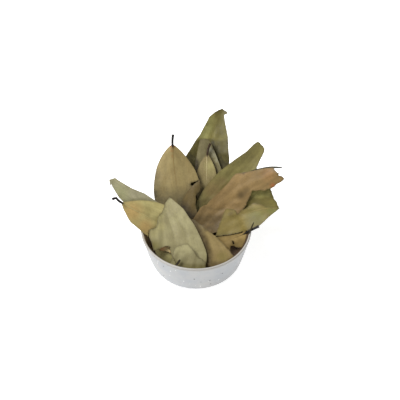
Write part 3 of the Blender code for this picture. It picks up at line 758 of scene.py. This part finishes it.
LEAVES = {
    "leaf_rear": dict(
        leaf=Leaf(
            [(-10.5, -6, -33, 3, 2), (0.5, 38, -35.2, 2, 4), (8.5, 68, -34, 3, 4),
             (14.5, 89, -33.5, 4, 4), (33.5, 133, -46, 0, 0)],
            width=54.4, fullness=2.5,
        ),
        tears=[
            [(-5, 117), (16.3, 117.2), (21, 119.4), (27.4, 122.5), (34, 117.4), (50, 117),
             (50, 150), (-5, 150)],
        ],
        trims=[
            [(34, 117.2), (29, 115.6), (30, 107.5), (31.8, 98), (33.6, 88), (45, 80), (50, 117)],
            [(16.5, 117), (13.9, 114.3), (11.9, 110), (10.2, 106.7), (7, 100.7), (3.7, 94.2),
             (-1, 88), (-5, 81.2), (-10.7, 72.4), (-15, 64), (-18.5, 50), (-19.5, 30), (-20.5, 8),
             (-40, 8), (-40, 60), (-20, 120)],
        ],
    ),
    "leaf_broken": dict(
        leaf=Leaf(
            [(15, 4, -28.5, 0, 0), (14, 45, -29.5, 0, 1), (10, 84, -27, -1, -1),
             (6, 116, -24, 0, 0)],
            width=29, fullness=3.0,
        ),
        tears=[
            [(-20, 89.4), (4.1, 89.4), (12.5, 89.2), (30, 89), (30, 130), (-20, 130)],
        ],
        trims=[
            [(12.5, 89.2), (15.6, 84.3), (18.7, 77.2), (22.3, 67.9), (26.2, 58.1), (31, 45),
             (45, 45), (45, 95)],
            [(4.1, 89.4), (2.4, 82.3), (1, 75.1), (-0.4, 67.9), (-1.3, 60.7), (-2, 50), (-20, 50),
             (-20, 95)],
        ],
    ),
    "leaf_small": dict(
        leaf=Leaf(
            [(14.3, 84.5, -23, 0, 0), (11.3, 73.7, -25, 0, 0), (10, 42, -26, 0, 0),
             (6, 4, -25, 0, 0)],
            width=21.5, widest=0.4, fullness=2.5, stalk=10.5,
        ),
    ),
    "leaf_large": dict(
        leaf=Leaf(
            [(-23.6, 93, -16, 0, 0), (-24.2, 83.5, -18.5, -2, -2), (-22.8, 62, -21, -1.5, -4),
             (-19.5, 36, -21, -1.5, -1), (-14.5, -26, -17.5, -1, -2)],
            width=47.8, fullness=1.85, widest=0.45, stalk=9.5,
        ),
        tears=[
            [(14, 48.5), (3.5, 47), (-5.4, 44.4), (-5.8, 42), (-3.4, 39.8), (-2.5, 28), (-8, 8),
             (-10, -40), (30, -40)],
        ],
    ),
    "leaf_inner": dict(
        leaf=Leaf(
            [(-14, -26, -12, 0, 0), (-9, 0, -15.5, 0, -1), (-4.5, 27, -17.5, -1, -1),
             (3.6, 47.5, -20, 0, 0)],
            width=21, widest=0.5,
        ),
        tears=[
            [(4.2, 49), (4.2, 43), (4.3, 38.9), (2.7, 35.4), (0.4, 33.3), (-0.4, 28.7),
             (-0.4, 20.6), (1.3, 13.5), (4, 0), (30, 0), (30, 49)],
        ],
    ),
    "leaf_right_high": dict(
        leaf=Leaf(
            [(2, -18, -19, 0, 0), (19, 24, -23, 0, 3), (50.5, 60.5, -25, 3, 3),
             (85, 100, -36, 0, 0)],
            width=34, widest=0.38, fullness=1.5,
        ),
        trims=[
            [(10, 44.6), (18.5, 51.6), (26.7, 58.2), (33.9, 63.8), (40.1, 68.5), (45.2, 72.1),
             (51.4, 76.3), (55.6, 80.5), (59.6, 84.8), (62, 88.5), (40, 100), (0, 70)],
        ],
        tears=[
            [(40, 100), (62, 88.5), (63.5, 87), (67.6, 83.4), (70.6, 79.8), (70, 76.2), (67.3, 71),
             (64.3, 64.7), (62, 59), (64, 56), (110, 56), (110, 120)],
        ],
    ),
    "leaf_edge": dict(
        leaf=Leaf(
            [(44, 49.5, -19, 0, 0), (58, 56.7, -17, 0, 0), (75, 59.4, -14, 0, 0),
             (86.8, 59.3, -9, 0, 0)],
            width=5.6, widest=0.76, fullness=2.8, roll=68, ripple=0.0,
        ),
    ),
    "leaf_right_green": dict(
        leaf=Leaf(
            [(34, 13, -18.3, -1, 0), (46, 18, -15.3, -1, 2), (66, 27, -14, -2, 3),
             (102, 34, -18, 0, 0)],
            width=33, widest=0.5,
        ),
        tears=[
            [(75, 48), (75.4, 38.3), (77, 32.8), (79.4, 27), (81.8, 24.2), (83.5, 18.8), (72, 14),
             (60, 19), (50, 16.5), (44, 15), (40, 10), (30, -2), (110, -2), (110, 50)],
        ],
    ),
    "leaf_right_brown": dict(
        leaf=Leaf(
            [(-10, -13, -11, 0, 0), (23, 16, -17.5, 1, 4), (53, 38, -10, -2, 0),
             (76, 51, -3, -4, -3), (98, 62, 3, 0, 0)],
            width=42, widest=0.48, fullness=1.9,
        ),
        tears=[
            [(76.8, 90), (76.8, 58.9), (80.9, 53.7), (82.4, 53.7), (82.2, 51.2), (85.2, 50.4),
             (87.9, 47.9), (100, 40), (120, 50), (100, 80)],
            [(95, 49.5), (87.9, 47.5), (79.3, 41.2), (75.3, 38.3), (66.8, 36.2), (56.1, 35.8),
             (54.6, 30.8), (49, 19), (43, 12), (34, 2), (30, -20), (110, -20)],
        ],
        trims=[
            [(-4, 6), (1.2, 14), (4.2, 19), (8, 21.2), (11, 22.1), (12.6, 24.7), (17.7, 29.7),
             (26.8, 38.2), (32.8, 44.4), (36.8, 50), (40.2, 53.2), (47.8, 54.5), (54.8, 55.6),
             (61.8, 57), (69.7, 58.4), (76.8, 59), (90, 59), (90, 90), (-30, 90), (-30, 10)],
        ],
    ),
    "leaf_left_pale": dict(
        leaf=Leaf(
            [(-14, -8, -17, 0, 0), (-38, 8, -17.3, 2, -2), (-62, 25, -14, 4, -2),
             (-80, 38, -16, 4, 2), (-98, 54, -24, 0, 0)],
            width=27.5, fullness=1.3, widest=0.45,
        ),
        tears=[
            [(-30, 40), (-30, 20), (-34, 15), (-44, 17.5), (-57, 18.5), (-62, 12), (-60, -20),
             (20, -20), (20, 40)],
        ],
        trims=[
            [(-34, 20.6), (-40, 25), (-46, 29), (-52.4, 33.3), (-58.6, 35.8), (-64.9, 38.5),
             (-71.2, 42.1), (-77.7, 46), (-82.3, 49.2), (-88.7, 47.3), (-87.4, 40.8),
             (-86.5, 43.1), (-85.5, 40.5), (-81.4, 34.2), (-78.1, 29.1), (-74.1, 25.1),
             (-70.9, 20.6), (-66, 8), (-120, 10), (-110, 70), (-30, 60)],
        ],
    ),
    "leaf_left_yellow": dict(
        leaf=Leaf(
            [(-82.7, 27.4, 7, 0, 0), (-78.8, 28.6, 5.5, 0, 0), (-75.2, 24.8, 3.2, 0, 0),
             (-55, 13.4, -0.6, -5.5, 9.5), (-35, 3.4, -6, -5.5, 8), (-4, -13.1, -9, 0, 0)],
            width=35, widest=0.5, stalk=10.3,
        ),
        tears=[
            [(-31.2, 40), (-31.2, 16), (-36.5, 5), (-38, 0.5), (-41, -1.5), (-44, -2.7),
             (-47.1, -3.7), (-47.7, -6.5), (-47.2, -11), (-45, -16), (-43, -22), (-42, -40),
             (20, -40), (20, 40)],
        ],
        trims=[
            [(-68.4, 8.6), (-66.2, 6.2), (-60.1, 1), (-54.5, -3.9), (-51.8, -6.4), (-48.6, -8.4),
             (-47.4, -12), (-46, -18), (-60, -30), (-80, -5)],
        ],
    ),
    "leaf_right_inner": dict(
        leaf=Leaf(
            [(61.5, 0.8, 10.5, 0, 0), (54.5, -2.8, 8.2, 0, 0), (49, -6, 4.5, 0, 1),
             (36, -12, -2, 0, 1), (5, -26, -10, 0, 0)],
            width=30, stalk=13,
        ),
        tears=[
            [(36, -13.8), (37.2, -14.2), (38.2, -16.6), (37.2, -17.6), (36.2, -16)],
            [(34.3, -20.5), (34.3, -19.5), (37.8, -19), (40.8, -20.4), (44.8, -20.7), (49.6, -19),
             (60, -19), (60, -40), (31.9, -40)],
        ],
        trims=[
            [(10, -9.2), (17.9, -10.6), (23.9, -9.9), (32.8, -8.8), (41.6, -7), (45.5, -6),
             (47, -4.5), (47, 20), (10, 20)],
        ],
    ),
    "leaf_right_low": dict(
        leaf=Leaf(
            [(83.6, 18.9, 0, 0, 0), (66, 17.8, 1.5, 4, -4), (47, 12.5, -3, 9, -4),
             (33, 5, -9, 4, -3), (0, -18, -12, 0, 0)],
            width=40, widest=0.5,
        ),
        tears=[
            [(20.5, -6), (29, 16.6), (30.5, 18.1), (35.1, 17.6), (40.1, 15.6), (41.6, 12.2),
             (44.1, 15.6), (49.2, 18.1), (56.2, 23.2), (62.3, 22.7), (69.3, 20.7), (84, 18.8),
             (90, 50), (-20, 50), (-20, -30), (12, -30)],
            [(61, 1.2), (57.3, -1.3), (54.4, -2.6), (50, -3.6), (46.6, -4.8), (42, -6.5), (33, -8.3),
             (24, -9.4), (16, -10.3), (-20, -14), (0, -40), (60, -40)],
        ],
    ),
    "leaf_front_right": dict(
        leaf=Leaf(
            [(29, -78, 6, 0, 0), (17, -30, -1, -2, 2), (5, -5, -4, 0, 2), (-9, 20, -9, 0, 0)],
            width=43,
        ),
        tears=[
            [(-30, -52), (8, -52), (20, -47), (32, -38), (42, -28), (70, -28), (60, -100),
             (-30, -100)],
            [(-16, 11), (-3.6, 7.6), (8.3, -0.4), (16, -6.6), (27, -16.6), (34.5, -25.6),
             (42, -36), (60, -20), (20, 30), (-16, 30)],
        ],
    ),
    "leaf_front": dict(
        leaf=Leaf(
            [(-14.2, -76, 4, 0, 0), (-19.2, -25, 1, 5.4, -1), (-26.2, 8, -6, 7, 0),
             (-33.5, 35, -14, 2, 0)],
            width=59, widest=0.45,
        ),
        tears=[
            [(-60, -28), (-42, -29), (-33, -38), (-22, -46), (-6, -52), (60, -52), (60, -100),
             (-60, -100)],
            [(-22, 40), (-22.2, 26.9), (-27, 29.2), (-32, 21.7), (-33.9, 14.7), (-38.6, 9.7),
             (-39.5, 1.8), (-40, -0.7), (-43.5, -2.2), (-46.4, -3.1), (-46.9, -6.1), (-46.4, -11),
             (-44.2, -15.8), (-42, -23.5), (-30, -19), (-26, -20), (-24, -30), (-28, -42),
             (-70, -42), (-60, 40)],
        ],
        trims=[
            [(-20, 25.5), (-16.2, 21.5), (-11.9, 16.5), (-8.7, 11.7), (-5.2, 6.7), (-1.8, 1.7),
             (0.9, -3.3), (5.6, -13.2), (9.5, -23), (11.4, -31), (12.2, -38), (12.4, -50),
             (40, -50), (40, 40), (-10, 40)],
        ],
    ),
    "leaf_low_left": dict(
        leaf=Leaf(
            [(-62, -2, -4, 0, 0), (-40, -24, -5, 0, 0), (-20, -35, -5, 0, 0), (4, -48, -5, 0, 0)],
            width=30,
        ),
        tears=[
            [(-41, -2), (-41, -26), (-35, -36), (-80, -40), (-80, 10)],
            [(-60, -34), (-35, -37), (-20, -46), (10, -48), (10, -60), (-60, -60)],
        ],
    ),
    "leaf_scrap": dict(
        leaf=Leaf(
            [(-42, -12, -2.5, 0, 0), (-31, -20, -2.5, 0, 0), (-20, -30, -2.5, 0, 0)],
            width=16, widest=0.5,
        ),
        piece=[(-37, -15), (-25, -14), (-22, -22), (-26, -26.5), (-30, -24.5), (-36, -24)],
    ),
    "leaf_chip": dict(
        leaf=Leaf(
            [(-15, -60, 7, 0, 0), (-9, -32, 6, 0, -1), (-6, -5, 4, 0, 0)],
            width=44, widest=0.5,
        ),
        piece=[
            (-23.8, -28.7), (-21.9, -20.8), (-16.9, -17.8), (-8, -16.3), (-3.1, -21.8),
            (0.9, -28.7), (9.8, -34.6), (9, -46), (-4, -49), (-17, -45),
        ],
    ),
    "stalk_right": dict(
        leaf=Leaf(
            [(51.5, -7.5, 9.5, 0, 0), (54, -1.6, 10.5, 0, 0), (56.8, 5, 11, 0, 0)],
            width=1.4, widest=0.5, fullness=0.7, ripple=0.0,
        ),
    ),
    "stalk_front": dict(
        leaf=Leaf(
            [(-20.5, -38, 9.2, 0, 0), (-18, -35.5, 9.4, 0, 0), (-15.6, -31.8, 9.4, 0, 0)],
            width=2.2, widest=0.5, fullness=0.7, ripple=0.0,
        ),
    ),
}


# What each leaf looks like. Stains and tints are round spots, brown or of the tint colour:
# (across, up, radius, strength). Some tints are painted light that lifts parts lying in shadow.
# Shades are painted shade, brown areas where shadow falls: (outline, soft edge, strength).
# Creases are folds: (line, rise, darkness); the darkness is a painted shade line along the fold.
LOOKS = {
    "leaf_rear": dict(
        base="#6e6631", second="#625928", stain_and_painted_shade="#36300e", back="#746c40", vein="#6e6633",
        tint_and_painted_light="#8c8952",
        creases=[
            ([(-4, 89.2), (9, 89.7), (16.3, 89.5), (23.5, 89.1), (34.4, 89)], 0.6, 0.25),
            ([(16.8, 90.4), (17.9, 99.4), (18.9, 107.9), (21.6, 117.6)], -0.4, 0.25),
        ],
        painted_shades=[
            ([(-20, 88.7), (45, 88.7), (45, 42), (-20, 42)], 1.6, 0.45),
            ([(15, 88.5), (45, 88.5), (45, 50), (15, 50)], 4, 0.7),
            ([(19, 90), (20, 105), (22, 118), (22, 126), (36, 126), (40, 90)], 3, 0.4),
            (
                [(13.8, 89.4), (18, 89.4), (24, 80), (29, 69), (35, 63), (36, 55), (22, 55), (21, 68),
                 (16, 80)],
                3,
                1,
            ),
            ([(30, 89), (40, 89), (40, 50), (14, 50), (20, 60), (28, 64)], 5, 0.75),
            ([(-12.7, 71), (-6, 77), (1.4, 72), (5, 56), (-2.4, 57.8)], 4, 1),
        ],
        stains=[(10.6, 105.1, 2, 0.7), (-4, 74, 8, 0.6), (31, 120, 5, 0.5)],
        # painted light: these tints lighten the left half of the blade
        tints_and_painted_light=[(11.7, 101.4, 7, 0.7), (7.6, 94, 6, 0.8), (15.3, 109.9, 5, 0.5)],
        crumple=0.3,
    ),
    "leaf_broken": dict(
        base="#706845", second="#655d3d", stain_and_painted_shade="#2e2611", back="#797251", vein="#706847",
        tint_and_painted_light="#96937a",
        # painted light: these tints lift the strip that lies in the small leaf's shadow
        tints_and_painted_light=[(15.2, 78.2, 3, 0.9), (18.3, 73, 2.6, 0.7), (21.4, 67.9, 2.4, 0.6)],
        painted_shades=[
            ([(-8, 74), (-1, 72), (3, 66), (3.2, 59), (1.8, 52), (-8, 52)], 3, 1),
            (
                [(15, 68), (16.5, 68), (18.5, 65), (20.6, 59.7), (22, 53), (18, 52), (17, 60)],
                1.5,
                0.7,
            ),
        ],
        creases=[([(14.4, 69.4), (16.2, 66.9), (19.3, 59.7), (20.3, 53.5)], -0.2, 0.8)],
        ridges=0.1,
    ),
    "leaf_small": dict(
        base="#80734b", second="#736640", stain_and_painted_shade="#443915", back="#837352", vein="#aa9c73",
        stalk="#33230f", tint_and_painted_light="#99905e",
        tints_and_painted_light=[(14.7, 61.6, 6, 0.8), (15.1, 55.5, 5, 0.5)],
        painted_shades=[
            (
                [(-2.3, 66), (2, 62), (4.4, 52), (6.6, 45), (9.8, 37), (5.9, 29), (-2.3, 33)],
                3.5,
                0.9,
            ),
        ],
    ),
    "leaf_large": dict(
        base="#86774b", second="#7c6c42", stain_and_painted_shade="#2e2810", back="#837753", vein="#776336",
        stalk="#100e0d", tint_and_painted_light="#8c5825",
        painted_shades=[
            ([(-60, 36), (-2, 36), (20, 30), (20, -10), (-60, -10)], 14, 0.62),
            ([(-52, 68), (-38.5, 56), (-36, 42), (-34, 28), (-34, 16), (-55, 16)], 7, 0.45),
            ([(-24, 31), (-14.5, 28), (-5, 18), (-16, 12)], 5, 0.8),
            ([(-56, 44), (-38, 40), (-31, 30), (-27, 16), (-56, 16)], 14, 0.8),
        ],
        tints_and_painted_light=[(-24.5, 82.2, 2.6, 1), (-24.4, 77, 1.5, 0.7), (-24.2, 71, 1.1, 0.5)],
        stains=[(-5.5, 41.5, 3, 0.5)],
        creases=[([(-21.5, 68), (-19.5, 55), (-17.5, 40)], 0.3, 0)],
    ),
    "leaf_inner": dict(
        base="#5c4c24", second="#52421f", stain_and_painted_shade="#2b2107", back="#554623", vein="#6a582c",
        creases=[([(-2.8, 41), (-1.7, 32.8), (-1.2, 24)], 0.5, 0)],
        painted_shades=[
            ([(-25, 33), (-14.5, 26), (-8, 20), (-2, 14), (6, 8), (-6, 0), (-28, 20)], 6, 0.9),
        ],
    ),
    "leaf_right_high": dict(
        base="#7b7340", second="#6e6638", stain_and_painted_shade="#4a3e18", back="#81764a", vein="#887d4a",
        tint_and_painted_light="#7b663e",
        painted_shades=[
            ([(-10, 50), (22, 50), (29, 41), (9, 5), (-10, 5)], 16, 0.25),
            ([(3, 28), (12, 30), (18, 26), (13, 16), (2, 16)], 4, 0.75),
        ],
        tints_and_painted_light=[(17.2, 36.9, 10, 0.7), (26.4, 44.1, 6, 0.5)],
        stains=[(60, 72, 7, 0.25)],
        creases=[([(51.1, 61.6), (44.9, 55.4), (36.6, 49.2)], 0.4, 0)],
        crumple=0.2,
    ),
    # painted shade: this sliver's colours are darker than its own, as it looks in shade
    "leaf_edge": dict(
        base="#2f3122", second="#292b1c", stain_and_painted_shade="#222210", back="#2e3022", vein="#2f3122",
    ),
    "leaf_right_green": dict(
        base="#6f6630", second="#625928", stain_and_painted_shade="#4a431a", back="#74693e", vein="#6f6630",
        tint_and_painted_light="#a59f5d",
        # painted light: these tints lift the strip in the shadow of the brown leaf above
        tints_and_painted_light=[(58.6, 34.5, 5, 0.8), (65.7, 34.5, 5, 0.8), (72.8, 33.5, 4, 0.6)],
        painted_shades=[([(56, 30), (68, 26), (68, 14), (54, 14)], 5, 0.35)],
        crumple=0.2,
    ),
    "leaf_right_brown": dict(
        base="#846c41", second="#7b643c", stain_and_painted_shade="#3e3010", back="#806f49", vein="#856c42",
        tint_and_painted_light="#93582e",
        stains=[
            (47.8, 54.3, 1.7, 1),
            (45.3, 31.8, 4.5, 0.7),
            (50.5, 35.5, 4, 0.45),
            (64, 54.5, 7, 0.25),
        ],
        painted_shades=[
            ([(-8, 19), (7, 20), (17, 18), (30.3, 18.6), (24, 8), (21, -15), (-8, -15)], 3, 0.25),
            (
                [(-6, 15), (4, 13), (12, 13), (20, 13), (27, 14), (30, -14), (8, -12), (-6, 0)],
                6,
                0.7,
            ),
        ],
        tints_and_painted_light=[(76.9, 41.2, 2.6, 0.9), (71.9, 52.7, 7, 0.2)],
        creases=[
            ([(1.8, 7.4), (3.9, 14.5), (6.9, 20.1)], 0.5, 0),
            ([(6.9, 20.1), (17.1, 17.6), (24.2, 17), (29.2, 18.1)], -0.4, 0.45),
            ([(42.3, 38.8), (52.2, 40.8), (62.1, 44.8), (71.9, 50.7)], 0.3, 0),
        ],
        crumple=0.25,
    ),
    "leaf_left_pale": dict(
        base="#8c866b", second="#807b5f", stain_and_painted_shade="#55522e", back="#8f8972", vein="#968f76",
        tint_and_painted_light="#787750",
        painted_shades=[
            (
                [(-76, 26), (-67, 27.6), (-57, 28.6), (-46.9, 27.6), (-37, 22.5), (-37, 14), (-76, 14)],
                2.4,
                0.55,
            ),
        ],
        tints_and_painted_light=[(-77.1, 32.8, 9, 0.8)],
        stains=[(-77.6, 30.7, 3, 0.5), (-87, 44.5, 6, 0.7), (-83.5, 37, 3, 0.5)],
        ridges=0.08,
    ),
    "leaf_left_yellow": dict(
        base="#9e9461", second="#928755", stain_and_painted_shade="#634e24", back="#9a9069", vein="#9e9463",
        stalk="#140d0b", tint_and_painted_light="#a48651",
        tints_and_painted_light=[(-63.7, 14.8, 10, 0.7), (-50.7, -0.1, 8, 0.7)],
        stains=[(-73.5, 22.6, 1.8, 0.9), (-70.5, 20.5, 1.5, 0.5)],
        creases=[([(-57.8, 14.8), (-52, 13.7), (-47.1, 10.7)], -0.3, 0.3)],
        crumple=0.25,
    ),
    "leaf_right_inner": dict(
        base="#7e6a3e", second="#736035", stain_and_painted_shade="#58491f", back="#82764a", vein="#7e6a3e",
        stalk="#17110d", tint_and_painted_light="#a18955",
        # painted light: these tints lift the top, which lies in shadow beside the stalk
        tints_and_painted_light=[(45, -7.5, 5, 1), (38, -10.5, 5, 0.7), (30, -11.5, 4, 0.5)],
        stains=[(39.8, -19.2, 3, 0.4)],
    ),
    "leaf_right_low": dict(
        base="#7d6e3a", second="#716432", stain_and_painted_shade="#4e3f16", back="#7d6e46", vein="#847543",
        tint_and_painted_light="#6c6b39",
        tints_and_painted_light=[(77.3, 15.8, 9, 0.9), (60, 8, 10, 0.8)],
        stains=[(35, 12.6, 3, 0.6), (44, 15, 3, 0.3), (72, 10, 4, 0.4)],
        painted_shades=[([(51, 11), (58, 12), (70, 6), (70, -6), (51, -8)], 6, 0.4)],
        crumple=0.25,
    ),
    "leaf_front_right": dict(
        base="#8a784b", second="#7f6d40", stain_and_painted_shade="#443613", back="#81704c", vein="#8f7d56",
        tint_and_painted_light="#786c35",
        tints_and_painted_light=[(26.7, -30, 6, 0.7)],
        creases=[([(5.9, -0.3), (9.8, -13.2), (12.8, -25.2), (14.8, -36)], 0.5, 0)],
        painted_shades=[
            (
                [(12, -34.5), (22, -35), (30, -33), (38, -27), (46, -20), (46, -60), (12, -60)],
                3.5,
                0.7,
            ),
            (
                [(-8, 16), (1.5, 5.5), (7, -4), (12, -14), (15, -24), (15.8, -33), (16, -45), (6, -60),
                 (-30, -60), (-30, 16)],
                4.4,
                1,
            ),
            ([(-4, 10), (3, 5.5), (9, 1.5), (13, -2), (9, -6), (0, -4)], 3, 0.7),
        ],
    ),
    "leaf_front": dict(
        base="#8f8861", second="#847c58", stain_and_painted_shade="#6c6537", back="#908868", vein="#968f6b",
        tint_and_painted_light="#a29967",
        tints_and_painted_light=[(-37, 10, 4, 0.6), (-36, 0, 5, 0.6), (-42.5, -6, 5, 0.5)],
        stains=[(-40.5, -18.5, 5, 0.9)],
        creases=[
            (
                [(-32.8, 19.7), (-30.2, 12.7), (-27.2, 4.7), (-24.1, -3.3), (-22.1, -11.2)],
                -0.6,
                0.3,
            ),
            ([(-30.4, 24), (-25.2, 10.6), (-20.2, -0.3), (-17.1, -9.2)], 0.3, 0),
            ([(-26.3, 15.6), (-20.2, 8.6), (-14.2, 0.7), (-9.1, -7.2)], -0.4, 0.15),
        ],
        ridges=0.12,
        crumple=0.2,
    ),
    # painted light: this leaf's colours are lighter than its own, lifting the shadow it lies in
    "leaf_low_left": dict(
        base="#b2aa74", second="#9c9460", stain_and_painted_shade="#4a4220", back="#9d966d", vein="#b0a973",
        painted_shades=[
            (
                [(-60, -16), (-44, -18), (-41, -23), (-37, -28), (-28, -32), (-18, -35), (-18, -50),
                 (-60, -50)],
                4,
                0.55,
            ),
        ],
    ),
    # painted light: this scrap's colours are lighter than its own, lifting the shadow it lies in
    "leaf_scrap": dict(
        base="#ddaf78", second="#ca9863", stain_and_painted_shade="#835826", back="#ae8e5f", vein="#bb9463",
        tint_and_painted_light="#e1d196",
        tints_and_painted_light=[(-27.1, -22.2, 5, 0.9)],
    ),
    "leaf_chip": dict(
        base="#87805c", second="#797350", stain_and_painted_shade="#615930", back="#858061", vein="#8e8767",
        tint_and_painted_light="#a69f75",
        tints_and_painted_light=[(-15, -22, 6, 0.8), (-9, -20.5, 6, 0.8)],
        ridges=0.1,
        crumple=0.25,
        painted_shades=[
            (
                [(-26, -28), (-22, -31), (-16, -35), (0, -36.5), (14, -37), (14, -50), (-30, -50),
                 (-32, -28)],
                4,
                0.8,
            ),
        ],
        creases=[([(-15.9, -24.7), (-12, -25.3)], -0.3, 0.3)],
    ),
    "stalk_right": dict(
        base="#2a240f", second="#221e0c", stain_and_painted_shade="#1a1608", back="#26200d", vein="#2a240f",
    ),
    "stalk_front": dict(
        base="#2a241a", second="#221c11", stain_and_painted_shade="#1a150a", back="#262016", vein="#302820",
    ),
}


def make_leaves():
    tree = vein_tree()
    for number, (name, parts) in enumerate(LEAVES.items()):
        make_leaf(name, tree, parts, LOOKS[name], number)


# ---------------------------------------------------------------- room, light and camera


def lay_floor():
    """Opal acrylic table, lit from below, so that the floor stays pale and shadows stay faint."""
    made, tree = new_material("opal_acrylic_lit_from_below")
    finish_with(
        tree,
        {
            "Base Color": hex_colour("#d8d8d7"),
            "Roughness": 0.9,
            "Specular IOR Level": 0.1,
            "Emission Color": hex_colour("#ffffff"),
            "Emission Strength": FLOOR_GLOW,
        },
    )
    bm = bmesh.new()
    bmesh.ops.create_grid(bm, x_segments=2, y_segments=2, size=2.5)
    mesh = bpy.data.meshes.new("floor")
    bm.to_mesh(mesh)
    bm.free()
    mesh.materials.append(made)
    floor = bpy.data.objects.new("floor", mesh)
    bpy.context.scene.collection.objects.link(floor)


def aim(thing, target):
    thing.rotation_euler = (Vector(target) - thing.location).to_track_quat("-Z", "Y").to_euler()


def add_light(name, place, size, power):
    data = bpy.data.lights.new(name, "AREA")
    data.shape = "DISK"
    data.size = size
    data.energy = power
    light = bpy.data.objects.new(name, data)
    light.location = place
    aim(light, (0.0, 0.02, 0.05))
    bpy.context.scene.collection.objects.link(light)


def set_room():
    lay_floor()
    add_light("key_softbox", (-0.6, 0.05, 0.95), 0.5, 17.0)
    add_light("fill_softbox", (0.8, -0.7, 0.8), 0.9, 2.0)
    world = bpy.data.worlds.new("studio")
    world.use_nodes = True
    backdrop = world.node_tree.nodes["Background"]
    backdrop.inputs["Color"].default_value = (1.0, 1.0, 1.0, 1.0)
    backdrop.inputs["Strength"].default_value = 0.4
    bpy.context.scene.world = world
    bpy.context.scene.view_settings.view_transform = "Standard"


def set_camera():
    data = bpy.data.cameras.new("camera")
    data.sensor_width = 36.0
    data.lens = 72.36
    data.clip_start = 0.01
    camera = bpy.data.objects.new("camera", data)
    camera.location = (0.00385, -0.5365, 0.638)
    aim(camera, (0.00385, 0.0192, 0.0625))
    bpy.context.scene.collection.objects.link(camera)
    bpy.context.scene.camera = camera


make_bowl(speckled_stoneware())
make_leaves()
set_room()
set_camera()
